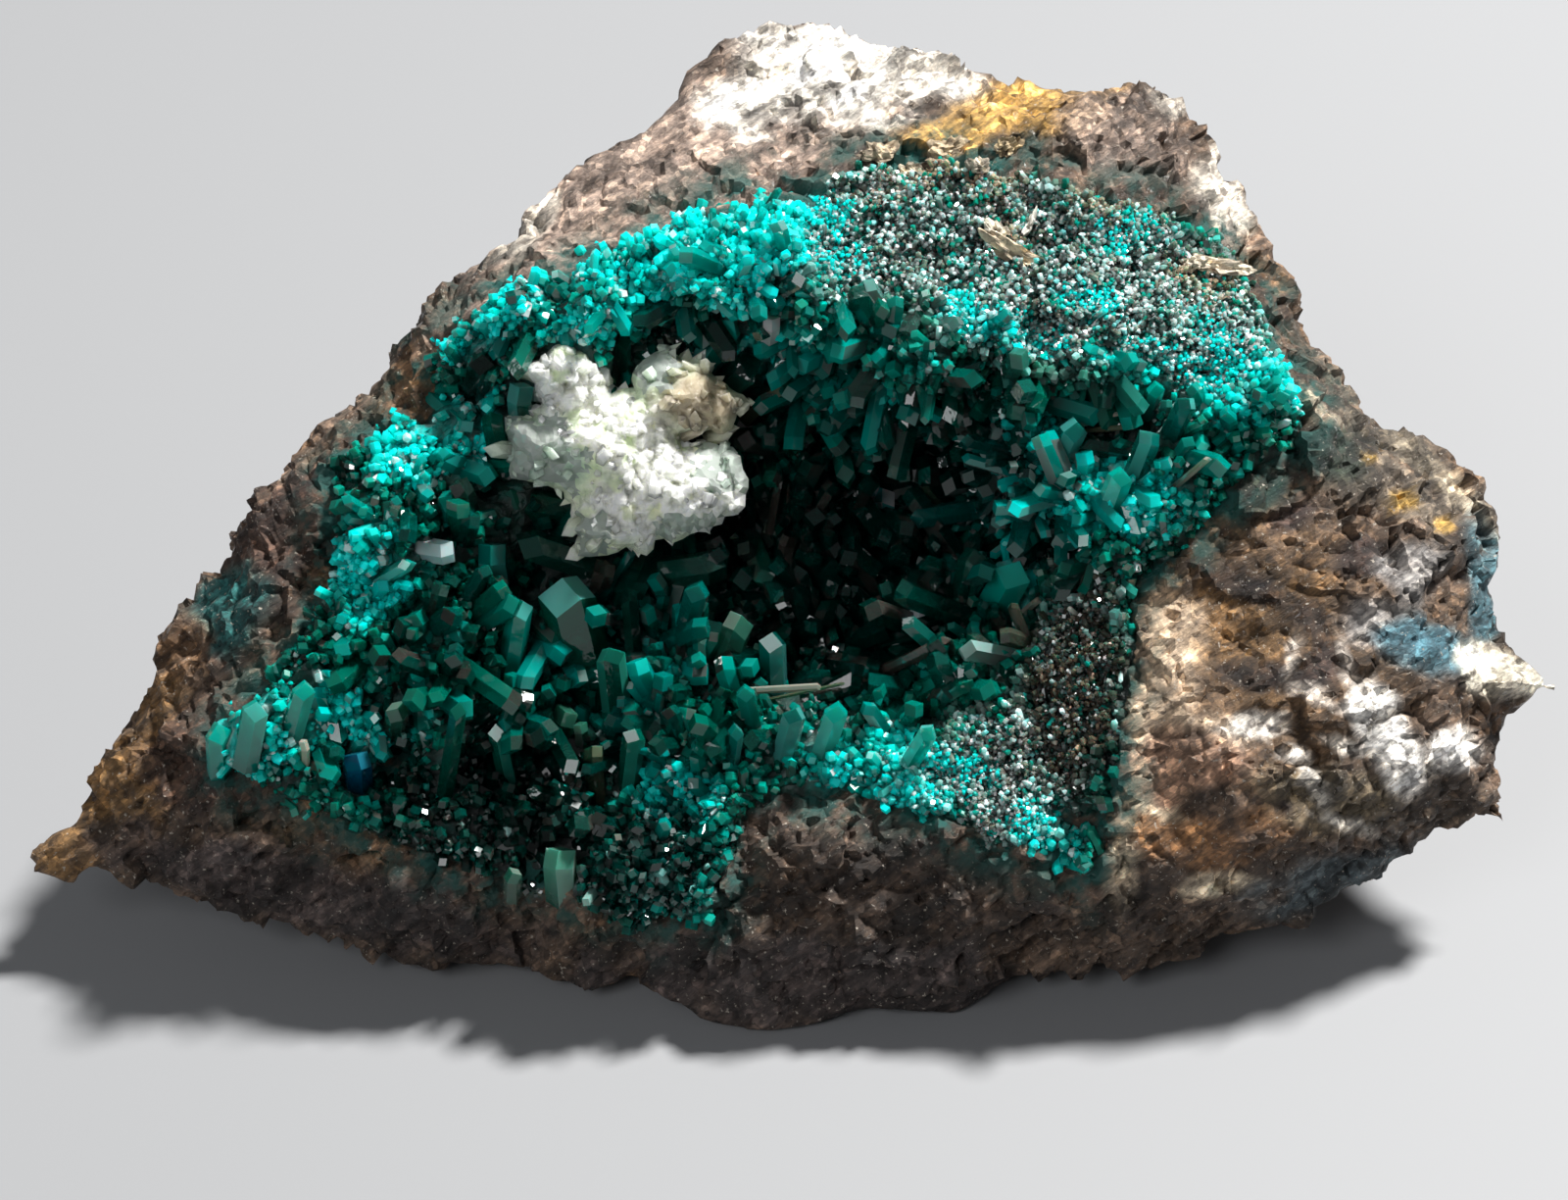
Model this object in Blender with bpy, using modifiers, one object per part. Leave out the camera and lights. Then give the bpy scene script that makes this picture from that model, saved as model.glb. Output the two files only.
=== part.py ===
"""A dioptase specimen: a broken lump of brown host rock with a hollow in its front, a green crust of dioptase
crystals that lines the hollow, and a pale calcite cluster that sits among them.

The front of the lump is described as a viewer sees it. A facing plane leans back by LEAN, and a landmark is
(across, up, out) in millimetres: how far right of the middle, how far up the facing plane, and how far it
stands out of that plane towards the eye. Lengths that are used in space are in metres.
"""

import math
import random

import bmesh
import bpy
from mathutils import Matrix, Vector, noise
from mathutils.bvhtree import BVHTree
from mathutils.geometry import delaunay_2d_cdt, intersect_point_line

MM = 0.001
LEAN = math.radians(38)
EYE_DISTANCE = 260 * MM
MIDDLE_HEIGHT = 20.8 * MM

# The facing plane, from the viewer's side.
UP_FACE = Vector((0, math.sin(LEAN), math.cos(LEAN)))
OUT = Vector((0, -math.cos(LEAN), math.sin(LEAN)))
MIDDLE = Vector((0, 0, MIDDLE_HEIGHT))
EYE = MIDDLE + OUT * EYE_DISTANCE

# Host rock. Evening out the skin pulls sharp edges in, so the rim is spread a little before it.
RIM_SPREAD = 1.01
SKIN_VOXEL = 1.0 * MM
ROCK_FACETS = 2900
LUMP_SIZE = 7.0 * MM
LUMP_HEIGHT = 0.9 * MM
CHIP_SIZE = 5.0 * MM
CHIP_HEIGHT = 1.3 * MM

# Crust of crystals
BED_DEPTH = 3.2 * MM
EDGE_DEPTH = 1.2 * MM
THINNING = 4.0
CRUST_GAP = 0.6 * MM
ROCK_GAP = 0.25 * MM
FOLD = 1.5 * MM
BORDER = 0.9
SMALL_CRYSTALS = 102
SMALL_WIDTH = (1.5 * MM, 2.8 * MM)
SMALL_SLENDER = (1.1, 2.2)
ROOT = 0.9 * MM
CRYSTAL_SEED = 11

# Calcite cluster
CALCITE_GAP = 0.35 * MM

# The outline of the lump, clockwise from the left spur.
RIM = [
    (-45.2, -16.2, -3.0),
    (-41.6, -10.9, -3.5),
    (-37.6, -5.1, -4.0),
    (-34.7, 1.3, -4.5),
    (-31.8, 5.3, -5.0),
    (-28.3, 8.2, -5.0),
    (-24.3, 12.3, -5.0),
    (-23.4, 14.6, -5.0),
    (-17.3, 20.2, -5.5),
    (-13.9, 23.8, -6.5),
    (-9.2, 27.3, -8.0),
    (-5.8, 30.9, -9.5),
    (-2.9, 33.5, -11.0),
    (0.5, 34.4, -11.5),
    (4.6, 33.7, -12.0),
    (8.7, 32.0, -12.0),
    (12.1, 30.9, -11.5),
    (15.6, 30.2, -11.0),
    (19.1, 31.2, -11.0),
    (24.0, 29.2, -11.0),
    (25.4, 25.8, -10.0),
    (27.2, 24.1, -9.5),
    (28.5, 20.9, -9.0),
    (30.5, 18.9, -8.5),
    (31.0, 16.0, -8.0),
    (34.4, 10.6, -7.0),
    (39.2, 8.9, -6.5),
    (42.4, 4.5, -5.5),
    (41.8, 0.7, -5.0),
    (42.3, -2.2, -4.5),
    (46.6, -4.9, -2.8),
    (42.2, -7.4, -4.0),
    (42.5, -13.0, -4.0),
    (37.2, -14.4, -4.0),
    (35.8, -17.0, -3.5),
    (31.2, -18.1, -3.0),
    (25.4, -19.7, -3.0),
    (24.4, -21.6, -4.0),
    (15.0, -22.2, -4.0),
    (9.2, -24.8, -2.5),
    (6.1, -24.4, -2.0),
    (0.0, -25.8, -1.0),
    (-4.6, -24.9, -1.5),
    (-8.7, -22.4, -3.0),
    (-13.9, -22.3, -4.0),
    (-21.4, -21.8, -4.5),
    (-28.9, -19.7, -4.0),
    (-38.4, -17.4, -4.0),
    (-43.6, -17.6, -3.5),
]

# Landmarks of the front, part by part.
UPPER_LEFT_FACE = [
    (-13.9, 20.9, -1.5),
    (-9.2, 24.4, -3.5),
    (-4.6, 27.9, -6.0),
    (2.9, 28.9, -6.0),
    (8.1, 29.6, -7.0),
    (-2.3, 25.0, -3.0),
    (-8.1, 21.5, -1.0),
    (-16.2, 18.6, 0.0),
    (5.8, 26.7, -4.0),
]
UPPER_RIGHT_KNOB = [
    (12.1, 27.9, -5.0),
    (17.3, 29.0, -5.5),
    (22.0, 28.0, -5.5),
    (20.2, 24.6, -2.5),
    (24.9, 23.2, -4.0),
]
SPARKLING_LEDGE = [
    (3.5, 24.0, -2.0),
    (11.6, 24.4, -2.0),
    (8.7, 20.3, 0.5),
    (17.3, 20.3, 0.5),
    (24.3, 19.2, -1.0),
    (4.0, 16.9, 2.5),
    (11.6, 16.3, 3.7),
    (19.1, 15.7, 3.2),
    (26.0, 15.1, 1.5),
    (29.5, 12.8, 0.5),
]
LIP_OF_HOLLOW = [
    (-19.7, 15.7, 0.0),
    (-13.9, 17.5, 2.0),
    (-9.2, 19.2, 2.5),
    (-3.5, 21.5, 2.0),
    (1.2, 22.1, 1.5),
    (-11.6, 15.6, 2.2),
    (-5.8, 18.4, 3.2),
    (-1.2, 16.9, 3.2),
    (7.5, 13.6, 3.4),
    (12.1, 13.2, 3.2),
]
FLOOR_OF_HOLLOW = [
    (-6.4, 15.7, -3.5),
    (-9.2, 12.3, -3.5),
    (0.0, 13.3, -4.0),
    (5.0, 11.5, -7.0),
    (9.8, 10.6, -9.0),
    (10.4, 6.5, -9.8),
    (5.8, 5.3, -8.5),
    (-1.2, 6.5, -6.2),
    (13.7, 3.0, -6.0),
    (3.5, 0.7, -7.0),
    (-4.6, 0.7, -5.8),
    (-8.7, -2.2, -4.8),
    (0.0, -2.8, -5.8),
    (5.8, -3.9, -4.2),
    (10.4, -1.6, -3.4),
    (15.0, -0.5, -1.5),
    (-10.4, 3.0, -4.2),
    (-13.9, 7.6, -3.2),
    (-17.3, 11.1, -2.0),
]
LEFT_SLOPE = [
    (-21.4, 12.3, 0.0),
    (-23.1, 7.6, 1.0),
    (-20.2, 4.2, 0.5),
    (-24.3, 0.7, 1.5),
    (-18.5, -0.5, -0.5),
    (-28.9, -3.9, 1.5),
    (-23.1, -5.1, 1.5),
    (-17.3, -6.2, -0.7),
    (-13.9, -10.9, -1.5),
    (-22.0, -9.7, 1.0),
    (-30.1, -8.6, 2.7),
    (-11.6, -6.2, -2.7),
]
LOWER_BAND = [
    (-5.8, -8.6, 0.5),
    (0.0, -7.4, 0.5),
    (5.8, -9.1, 2.0),
    (11.6, -7.4, 2.0),
    (16.8, -5.1, 2.5),
    (-9.2, -13.8, 1.5),
    (-17.3, -14.3, 1.5),
    (-26.0, -12.6, 2.5),
    (-4.6, -17.0, 3.0),
    (-11.6, -17.4, 2.5),
    (0.0, -13.2, 3.0),
    (5.8, -13.2, 4.0),
    (12.7, -13.8, 4.5),
    (17.3, -16.6, 4.0),
    (16.2, -10.9, 3.5),
]
SKIRT = [
    (-31.8, -15.5, 1.5),
    (-22.0, -17.8, 2.0),
    (-11.6, -20.4, 0.8),
    (-2.3, -21.5, 2.0),
    (5.8, -21.5, 2.0),
    (11.6, -20.3, 1.5),
    (2.9, -17.8, 4.0),
    (11.6, -17.2, 3.5),
    (20.2, -20.1, 1.0),
    (24.9, -17.8, 1.5),
]
LEFT_SPUR = [
    (-43.2, -15.4, -1.8),
    (-39.9, -14.3, -1.0),
    (-36.4, -10.9, 0.5),
    (-34.7, -6.2, 0.0),
    (-32.4, -0.5, 0.0),
    (-29.5, 4.2, 0.0),
    (-26.6, 7.6, 0.0),
]
RIGHT_WALL = [
    (14.5, 10.5, 1.0),
    (18.5, 9.9, -1.0),
    (22.0, 12.3, 1.5),
    (23.1, 8.2, 2.5),
    (19.1, 5.3, 3.0),
    (15.2, 6.5, 1.0),
    (27.2, 11.1, 1.0),
]
RIGHT_LOBE = [
    (20.2, 0.7, 2.0),
    (23.1, 3.0, 2.5),
    (27.7, 6.5, 1.5),
    (32.4, 8.8, 0.0),
    (37.0, 7.0, -0.5),
    (39.3, 3.0, 0.5),
    (30.6, 3.0, 3.0),
    (35.8, 0.7, 2.5),
    (26.0, -1.6, 2.3),
    (30.6, -3.9, 4.0),
    (22.0, -5.1, 4.5),
    (20.8, -9.7, 5.0),
    (27.7, -9.7, 5.5),
    (34.7, -7.4, 4.5),
    (39.3, -5.1, 2.0),
    (43.2, -4.8, 0.0),
    (39.3, -10.3, 1.5),
    (33.5, -13.2, 2.5),
    (26.0, -14.3, 4.5),
    (20.8, -14.9, 5.0),
]

# The side away from the viewer: (right, back, height above the surface it rests on), in millimetres.
BEHIND = [
    (-20.0, -4.0, -1.2),
    (-3.0, -10.5, -1.2),
    (10.0, -9.5, -1.2),
    (20.0, -3.0, -1.0),
    (25.0, 9.0, -1.2),
    (16.0, 22.0, -1.2),
    (-2.0, 25.0, -1.2),
    (-18.0, 19.0, -1.2),
    (-25.0, 6.0, -1.2),
    (0.0, 6.0, 0.8),
    (-34.0, 2.0, 9.0),
    (-30.0, 12.0, 9.0),
    (34.0, 2.0, 9.0),
    (36.0, 13.0, 15.0),
    (29.0, 21.0, 17.0),
    (-22.0, 24.0, 15.0),
    (-10.0, 32.0, 22.0),
    (6.0, 34.0, 27.0),
    (0.0, 34.0, 12.0),
    (20.0, 30.0, 21.0),
    (14.0, 31.0, 10.0),
    (-14.0, 29.0, 10.0),
]

# Where the crust of crystals lies, as (across, up).
CRUST_OUTLINE = [
    (-20.5, 15.1),
    (-16.8, 18.4),
    (-11.6, 19.9),
    (-5.8, 22.5),
    (-1.2, 23.9),
    (2.0, 23.8),
    (3.4, 25.0),
    (7.4, 26.2),
    (12.1, 26.0),
    (17.3, 24.2),
    (22.6, 22.8),
    (26.2, 20.4),
    (28.0, 17.3),
    (28.6, 14.4),
    (31.0, 11.4),
    (29.6, 9.2),
    (26.6, 6.5),
    (23.1, 2.4),
    (20.8, 0.7),
    (19.9, -5.1),
    (19.7, -10.9),
    (17.9, -16.2),
    (14.5, -14.9),
    (9.2, -13.2),
    (3.5, -10.9),
    (-1.7, -11.7),
    (-3.2, -14.9),
    (-4.5, -18.8),
    (-9.2, -18.8),
    (-13.9, -17.0),
    (-21.4, -14.9),
    (-27.2, -12.6),
    (-33.4, -10.4),
    (-33.6, -7.4),
    (-30.6, -5.1),
    (-26.9, 0.1),
    (-27.0, 7.2),
    (-23.2, 10.6),
]
LEDGE_OUTLINE = [
    (2.6, 23.2),
    (7.4, 26.2),
    (17.3, 24.2),
    (26.2, 20.4),
    (28.0, 17.3),
    (27.6, 14.6),
    (20.0, 14.4),
    (12.5, 15.0),
    (5.0, 16.2),
]

# Crystals that stand out: (across, up, lean right, lean up, width, length), sizes in millimetres.
# The leans are the parts of the crystal's direction along the facing plane, where 1 lies in the plane.
TALL_CRYSTALS = [
    (-12.6, -3.6, -0.10, 0.75, 3.5, 7.4),
    (-7.0, -3.6, -0.35, 0.72, 2.9, 5.2),
    (-7.6, 1.6, 0.85, 0.10, 2.6, 7.0),
    (6.0, 3.6, 0.05, 0.80, 1.9, 4.6),
    (10.6, 3.4, -0.55, 0.68, 1.6, 5.2),
    (12.4, 2.2, 0.45, 0.68, 1.6, 4.0),
    (13.2, 0.6, 0.10, 0.30, 2.9, 2.6),
    (-1.6, 10.6, 0.80, 0.45, 1.8, 4.4),
    (2.2, 9.6, 0.20, 0.45, 2.0, 3.2),
    (-0.6, 3.4, 0.10, 0.85, 1.2, 5.0),
    (6.0, -3.6, 0.65, 0.55, 2.3, 4.6),
    (-4.4, -4.6, 0.45, 0.45, 2.6, 3.6),
    (-0.8, -5.0, 0.10, 0.60, 1.8, 3.6),
    (-5.4, -9.2, -0.35, 0.80, 2.4, 6.0),
    (2.0, -8.2, 0.25, 0.40, 2.4, 4.0),
    (-12.6, -9.4, 0.20, 0.50, 2.6, 3.8),
    (-23.0, -7.6, 0.10, 0.30, 2.4, 3.0),
    (-20.6, 9.2, 0.60, 0.35, 2.2, 4.0),
    (-13.6, 1.6, -0.55, 0.10, 3.0, 3.4),
    (-12.8, 14.4, 0.10, 0.70, 1.8, 3.6),
    (-12.6, -15.2, 0.05, 0.35, 2.0, 2.4),
    (-29.0, -8.2, -0.20, 0.35, 2.6, 3.0),
    (17.6, 6.4, -0.30, 0.20, 2.6, 3.0),
    (19.6, 4.0, 0.10, -0.30, 2.4, 2.8),
]

# The calcite cluster: (across, up, out, edge, flatness) of each rhomb.
CALCITE_RHOMBS = [
    (-13.2, 13.8, 0.6, 4.2, 0.80),
    (-11.8, 12.2, 1.2, 3.8, 1.10),
    (-9.4, 9.8, 2.0, 5.6, 0.85),
    (-6.4, 12.6, 0.8, 4.2, 0.95),
    (-4.2, 12.2, 0.2, 3.4, 1.20),
    (-14.4, 8.6, 0.4, 4.6, 0.85),
    (-12.2, 6.6, 1.4, 4.6, 1.05),
    (-7.2, 7.4, 2.0, 5.4, 0.80),
    (-4.2, 7.8, 1.2, 4.2, 1.05),
    (-9.8, 4.6, 1.0, 4.2, 1.10),
    (-6.6, 4.8, 1.0, 3.6, 0.90),
    (-10.6, 3.6, 0.4, 2.8, 1.25),
]
CALCITE_SEED = 4

GREEN = (0.0, 0.22, 0.17)
BROWN = (0.20, 0.145, 0.10)
PALE = (0.72, 0.78, 0.70)


def at(across, up, out):
    """The point in space of a landmark given in millimetres."""
    nearer = 1 - out * MM / EYE_DISTANCE
    return MIDDLE + Vector((across * MM * nearer, 0, 0)) + UP_FACE * (up * MM * nearer) + OUT * (out * MM)


def seen(point):
    """(across, up) in millimetres of a point in space, as the eye sees it."""
    offset = point - MIDDLE
    nearer = 1 - offset.dot(OUT) / EYE_DISTANCE
    return offset.x / nearer / MM, offset.dot(UP_FACE) / nearer / MM


def behind(right, back, height):
    """The point in space of a landmark on the far side, given in millimetres."""
    return Vector((right * MM, back * MM, height * MM))


def to_eye(point):
    """The direction from a point to the eye."""
    return (EYE - point).normalized()


def inside(outline, across, up):
    """Whether (across, up) lies inside a closed outline."""
    odd = False
    for (ax, ay), (bx, by) in zip(outline, outline[1:] + outline[:1]):
        if (ay > up) != (by > up) and across < ax + (up - ay) / (by - ay) * (bx - ax):
            odd = not odd
    return odd


def edge_distance(outline, across, up):
    """How far (across, up) is from a closed outline."""
    here = Vector((across, up))
    nearest = math.inf
    for a, b in zip(outline, outline[1:] + outline[:1]):
        on_edge, along = intersect_point_line(here, Vector(a), Vector(b))
        along = min(max(along, 0), 1)
        nearest = min(nearest, (here - Vector(a).lerp(Vector(b), along)).length)
    return nearest


def well_inside(outline, across, up, margin):
    """Whether (across, up) lies inside an outline and at least margin from it."""
    return inside(outline, across, up) and edge_distance(outline, across, up) > margin


def bed_depth(point):
    """How deep the crust's bed is sunk below a point of the lump: it thins out towards the crust's edge."""
    share = min(edge_distance(CRUST_OUTLINE, *seen(point)) / THINNING, 1)
    return EDGE_DEPTH + (BED_DEPTH - EDGE_DEPTH) * share


def clear_scene():
    for obj in list(bpy.data.objects):
        bpy.data.objects.remove(obj, do_unlink=True)


def collection(name):
    made = bpy.data.collections.new(name)
    bpy.context.scene.collection.children.link(made)
    return made


def material(name, colour, roughness):
    made = bpy.data.materials.new(name)
    made.use_nodes = True
    shader = made.node_tree.nodes["Principled BSDF"]
    shader.inputs["Base Color"].default_value = (*colour, 1)
    shader.inputs["Roughness"].default_value = roughness
    shader.inputs["Metallic"].default_value = 0
    return made


def new_object(name, mesh, where):
    obj = bpy.data.objects.new(name, mesh)
    where.objects.link(obj)
    return obj


def object_from(bm, name, where):
    mesh = bpy.data.meshes.new(name)
    bm.to_mesh(mesh)
    bm.free()
    return new_object(name, mesh, where)


def cutter_from(bm, name, where):
    obj = object_from(bm, name, where)
    obj.hide_render = True
    obj.display_type = "WIRE"
    return obj


def apply_modifiers(obj):
    """Replaces the object's mesh by its evaluated one, and removes its modifiers."""
    graph = bpy.context.evaluated_depsgraph_get()
    mesh = bpy.data.meshes.new_from_object(obj.evaluated_get(graph))
    obj.modifiers.clear()
    obj.data = mesh


def boolean(obj, cutter, operation):
    modifier = obj.modifiers.new(operation.title(), "BOOLEAN")
    modifier.operation = operation
    modifier.object = cutter
    modifier.solver = "EXACT"
    modifier.use_self = operation == "UNION"
    apply_modifiers(obj)


def add_sheet(bm, rim, points, facing):
    """Spans the rim with triangles through the points, with the side that the eye sees outwards if facing."""
    corners = rim + [bm.verts.new(p) for p in points]
    flat = [Vector(seen(v.co)) for v in corners]
    loop = [list(range(len(rim)))]
    triangles = delaunay_2d_cdt(flat, [], loop, 1, 1e-5)[2]
    for a, b, c in triangles:
        order = (a, b, c) if facing else (a, c, b)
        bm.faces.new([corners[k] for k in order])


def lump(where):
    """The closed, plain form of the host rock, spanned through its landmarks."""
    front = (
        UPPER_LEFT_FACE + UPPER_RIGHT_KNOB + SPARKLING_LEDGE + LIP_OF_HOLLOW + FLOOR_OF_HOLLOW + LEFT_SLOPE
        + LOWER_BAND + SKIRT + LEFT_SPUR + RIGHT_WALL + RIGHT_LOBE
    )
    bm = bmesh.new()
    rim = [bm.verts.new(at(across * RIM_SPREAD, up * RIM_SPREAD, out)) for across, up, out in RIM]
    add_sheet(bm, rim, [at(*p) for p in front], facing=True)
    add_sheet(bm, rim, [behind(*p) for p in BEHIND], facing=False)
    bmesh.ops.recalc_face_normals(bm, faces=bm.faces)
    return object_from(bm, "lump", where)


def even_skin(obj, voxel):
    modifier = obj.modifiers.new("Even skin", "REMESH")
    modifier.mode = "VOXEL"
    modifier.voxel_size = voxel
    apply_modifiers(obj)


def roughen(obj):
    """Breaks the surface into lumps and chipped hollows. The side that the eye sees moves along the line of sight,
    so that no part of it folds over another."""
    mesh = obj.data
    normals = [v.normal.copy() for v in mesh.vertices]
    for vertex, normal in zip(mesh.vertices, normals):
        here = vertex.co
        facing = min(max(normal.dot(to_eye(here)) / 0.3, 0), 1)
        way = normal.lerp(to_eye(here), facing).normalized()
        lumps = noise.fractal(here / LUMP_SIZE, 0.8, 2.0, 3)
        near, second = noise.voronoi(here / CHIP_SIZE)[0][:2]
        chips = min(second - near, 0.5) - 0.25
        vertex.co = here + way * (lumps * LUMP_HEIGHT + chips * CHIP_HEIGHT)


def facet(obj, faces):
    """Joins small triangles until about this many are left."""
    modifier = obj.modifiers.new("Facets", "DECIMATE")
    modifier.ratio = faces / len(obj.data.loop_triangles)
    apply_modifiers(obj)


def rest_flat(obj):
    """Flattens what would lie below the surface that the lump rests on, and joins its small coplanar faces."""
    for vertex in obj.data.vertices:
        vertex.co.z = max(vertex.co.z, 0.0)
    bm = bmesh.new()
    bm.from_mesh(obj.data)
    flat = [f for f in bm.faces if all(v.co.z == 0 for v in f.verts)]
    verts = list({v for f in flat for v in f.verts})
    edges = [e for e in bm.edges if len(e.link_faces) == 2 and all(f in flat for f in e.link_faces)]
    bmesh.ops.dissolve_limit(bm, angle_limit=math.radians(0.1), verts=verts, edges=edges)
    bm.to_mesh(obj.data)
    bm.free()


def triangulated(obj):
    bm = bmesh.new()
    bm.from_mesh(obj.data)
    bmesh.ops.triangulate(bm, faces=bm.faces)
    bmesh.ops.recalc_face_normals(bm, faces=bm.faces)
    bm.to_mesh(obj.data)
    bm.free()
    obj.data.calc_loop_triangles()


def tree_of(obj):
    """A search tree of an object's faces."""
    return BVHTree.FromPolygons([v.co for v in obj.data.vertices], [p.vertices for p in obj.data.polygons])


def under_crust(blank, tree):
    """The indices of the blank lump's vertices that lie under the crust."""
    found = set()
    for vertex in blank.data.vertices:
        if inside(CRUST_OUTLINE, *seen(vertex.co)):
            first = tree.ray_cast(EYE, -to_eye(vertex.co))[3]
            if first is None or first > (vertex.co - EYE).length - FOLD:
                found.add(vertex.index)
    return found


def blank_lump(helpers):
    """The faceted lump before the crust's bed is sunk into it."""
    blank = lump(helpers)
    even_skin(blank, SKIN_VOXEL)
    roughen(blank)
    triangulated(blank)
    facet(blank, ROCK_FACETS)
    rest_flat(blank)
    triangulated(blank)
    return blank


def host_rock(blank, covered, where):
    """The lump, with the bed of the crust sunk away from the eye."""
    rock = new_object("matrix", blank.data.copy(), where)
    for index in covered:
        vertex = rock.data.vertices[index]
        vertex.co -= to_eye(vertex.co) * bed_depth(vertex.co)
    return rock


def crust_bed(blank, covered, where):
    """A shell that fills the sunken bed up to the lump's own surface, less a gap beneath."""
    bm = bmesh.new()
    bm.from_mesh(blank.data)
    bm.normal_update()
    away = [
        f for f in bm.faces
        if not all(v.index in covered for v in f.verts) or f.normal.dot(to_eye(f.calc_center_median())) < 0.05
    ]
    bmesh.ops.delete(bm, geom=away, context="FACES")
    keep_largest_patch(bm)
    extruded = bmesh.ops.extrude_face_region(bm, geom=bm.faces[:], use_keep_orig=True)
    for element in extruded["geom"]:
        if isinstance(element, bmesh.types.BMVert):
            element.co -= to_eye(element.co) * (bed_depth(element.co) - CRUST_GAP)
    bmesh.ops.recalc_face_normals(bm, faces=bm.faces)
    return object_from(bm, "dioptase_crust", where)


def keep_largest_patch(bm):
    """Deletes all but the largest patch of faces joined by edges, and vertices where only corners touch."""
    left, patches = set(bm.faces), []
    while left:
        patch, edge = set(), [left.pop()]
        while edge:
            face = edge.pop()
            patch.add(face)
            neighbours = {n for e in face.edges if len(e.link_faces) == 2 for n in e.link_faces} & left
            left -= neighbours
            edge += neighbours
        patches.append(patch)
    largest = max(patches, key=len)
    bmesh.ops.delete(bm, geom=[f for f in bm.faces if f not in largest], context="FACES")


def keep_largest_body(obj):
    """Drops what a cut has left loose."""
    bm = bmesh.new()
    bm.from_mesh(obj.data)
    keep_largest_patch(bm)
    loose = [v for v in bm.verts if not v.link_faces]
    bmesh.ops.delete(bm, geom=loose, context="VERTS")
    bm.to_mesh(obj.data)
    bm.free()


def crystal_frame(axis, spin):
    """Turns a crystal that points up to point along axis, spun about itself."""
    return axis.to_track_quat("Z", "Y").to_matrix().to_4x4() @ Matrix.Rotation(spin, 4, "Z")


def crystal(foot, axis, width, length, spin):
    """A six-sided dioptase prism with three rhombs at its tip, rooted a little below its foot."""
    bm = bmesh.new()
    slope = 0.27 * width
    depth = length + ROOT
    bmesh.ops.create_cone(bm, segments=6, cap_ends=True, radius1=width / 2, radius2=width / 2, depth=depth)
    top_ring = sorted((v for v in bm.verts if v.co.z > 0), key=lambda v: math.atan2(v.co.y, v.co.x))
    cap = next(f for f in bm.faces if all(v.co.z > 0 for v in f.verts))
    for k, vertex in enumerate(top_ring):
        vertex.co.z = depth / 2 - slope * (1 + k % 2)
    apex = bmesh.ops.poke(bm, faces=[cap])["verts"][0]
    apex.co = Vector((0, 0, depth / 2))
    place = Matrix.Translation(foot + axis * (depth / 2 - ROOT)) @ crystal_frame(axis, spin)
    bmesh.ops.transform(bm, matrix=place, verts=bm.verts)
    return bm


def on_bed(tree, across, up):
    """Where the eye's line through (across, up) meets a surface, and the surface's normal there."""
    through = at(across, up, 0)
    hit, normal, _, _ = tree.ray_cast(EYE, -to_eye(through))
    return hit, normal


def clear_of_rock(bm, rock_tree):
    """Whether a crystal lies within the crust's outline and in front of the host rock."""
    for vertex in bm.verts:
        across, up = seen(vertex.co)
        if not well_inside(CRUST_OUTLINE, across, up, 0.4):
            return False
        hit, _ = on_bed(rock_tree, across, up)
        if hit is None or (vertex.co - EYE).length > (hit - EYE).length - ROCK_GAP:
            return False
    return not BVHTree.FromBMesh(bm).overlap(rock_tree)


def add_to(bm, other):
    """Adds the mesh of another body to bm."""
    carrier = bpy.data.meshes.new("carrier")
    other.to_mesh(carrier)
    other.free()
    bm.from_mesh(carrier)
    bpy.data.meshes.remove(carrier)


def crust_crystals(blank_tree, rock_tree):
    """All the crystals of the crust, as one mesh of closed prisms."""
    bm = bmesh.new()
    for across, up, lean_right, lean_up, width, length in TALL_CRYSTALS:
        foot, _ = on_bed(blank_tree, across, up)
        outwards = math.sqrt(max(0.04, 1 - lean_right**2 - lean_up**2))
        axis = (Vector((lean_right, 0, 0)) + UP_FACE * lean_up + OUT * outwards).normalized()
        made = crystal(foot, axis, width * MM, length * MM, 0.4)
        if clear_of_rock(made, rock_tree):
            add_to(bm, made)
        else:
            print("left out", across, up)
    chance = random.Random(CRYSTAL_SEED)
    placed = 0
    while placed < SMALL_CRYSTALS:
        across, up = chance.uniform(-34, 31), chance.uniform(-19, 26)
        if not well_inside(CRUST_OUTLINE, across, up, BORDER):
            continue
        fine = inside(LEDGE_OUTLINE, across, up)
        foot, normal = on_bed(blank_tree, across, up)
        width = chance.uniform(*SMALL_WIDTH) * (0.7 if fine else 1.0)
        length = width * chance.uniform(*SMALL_SLENDER) * (0.6 if fine else 1.0)
        tilt = Vector([chance.gauss(0, 0.35) for _ in range(3)])
        axis = (normal + OUT * 0.5 + tilt).normalized()
        made = crystal(foot, axis, width, length, chance.uniform(0, math.pi))
        if clear_of_rock(made, rock_tree):
            add_to(bm, made)
            placed += 1
    return bm


def calcite_cluster(grow, name, where):
    """The pale cluster as overlapping rhombs. grow widens each of them, for the pocket that it sits in."""
    bm = bmesh.new()
    chance = random.Random(CALCITE_SEED)
    for across, up, out, edge, flatness in CALCITE_RHOMBS:
        made = bmesh.ops.create_cube(bm, size=1)["verts"]
        stand = Vector((1, 1, 1)).normalized().rotation_difference(Vector((0, 0, 1))).to_matrix().to_4x4()
        squash = Matrix.Diagonal((1, 1, flatness, 1))
        size = edge * MM * 0.72 + 2 * grow
        tilt = Vector([chance.gauss(0, 0.5) for _ in range(3)])
        axis = (OUT + tilt).normalized()
        turn = crystal_frame(axis, chance.uniform(0, 2 * math.pi))
        place = Matrix.Translation(at(across, up, out)) @ turn @ squash @ Matrix.Scale(size, 4) @ stand
        bmesh.ops.transform(bm, matrix=place, verts=made)
    return bm


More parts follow.
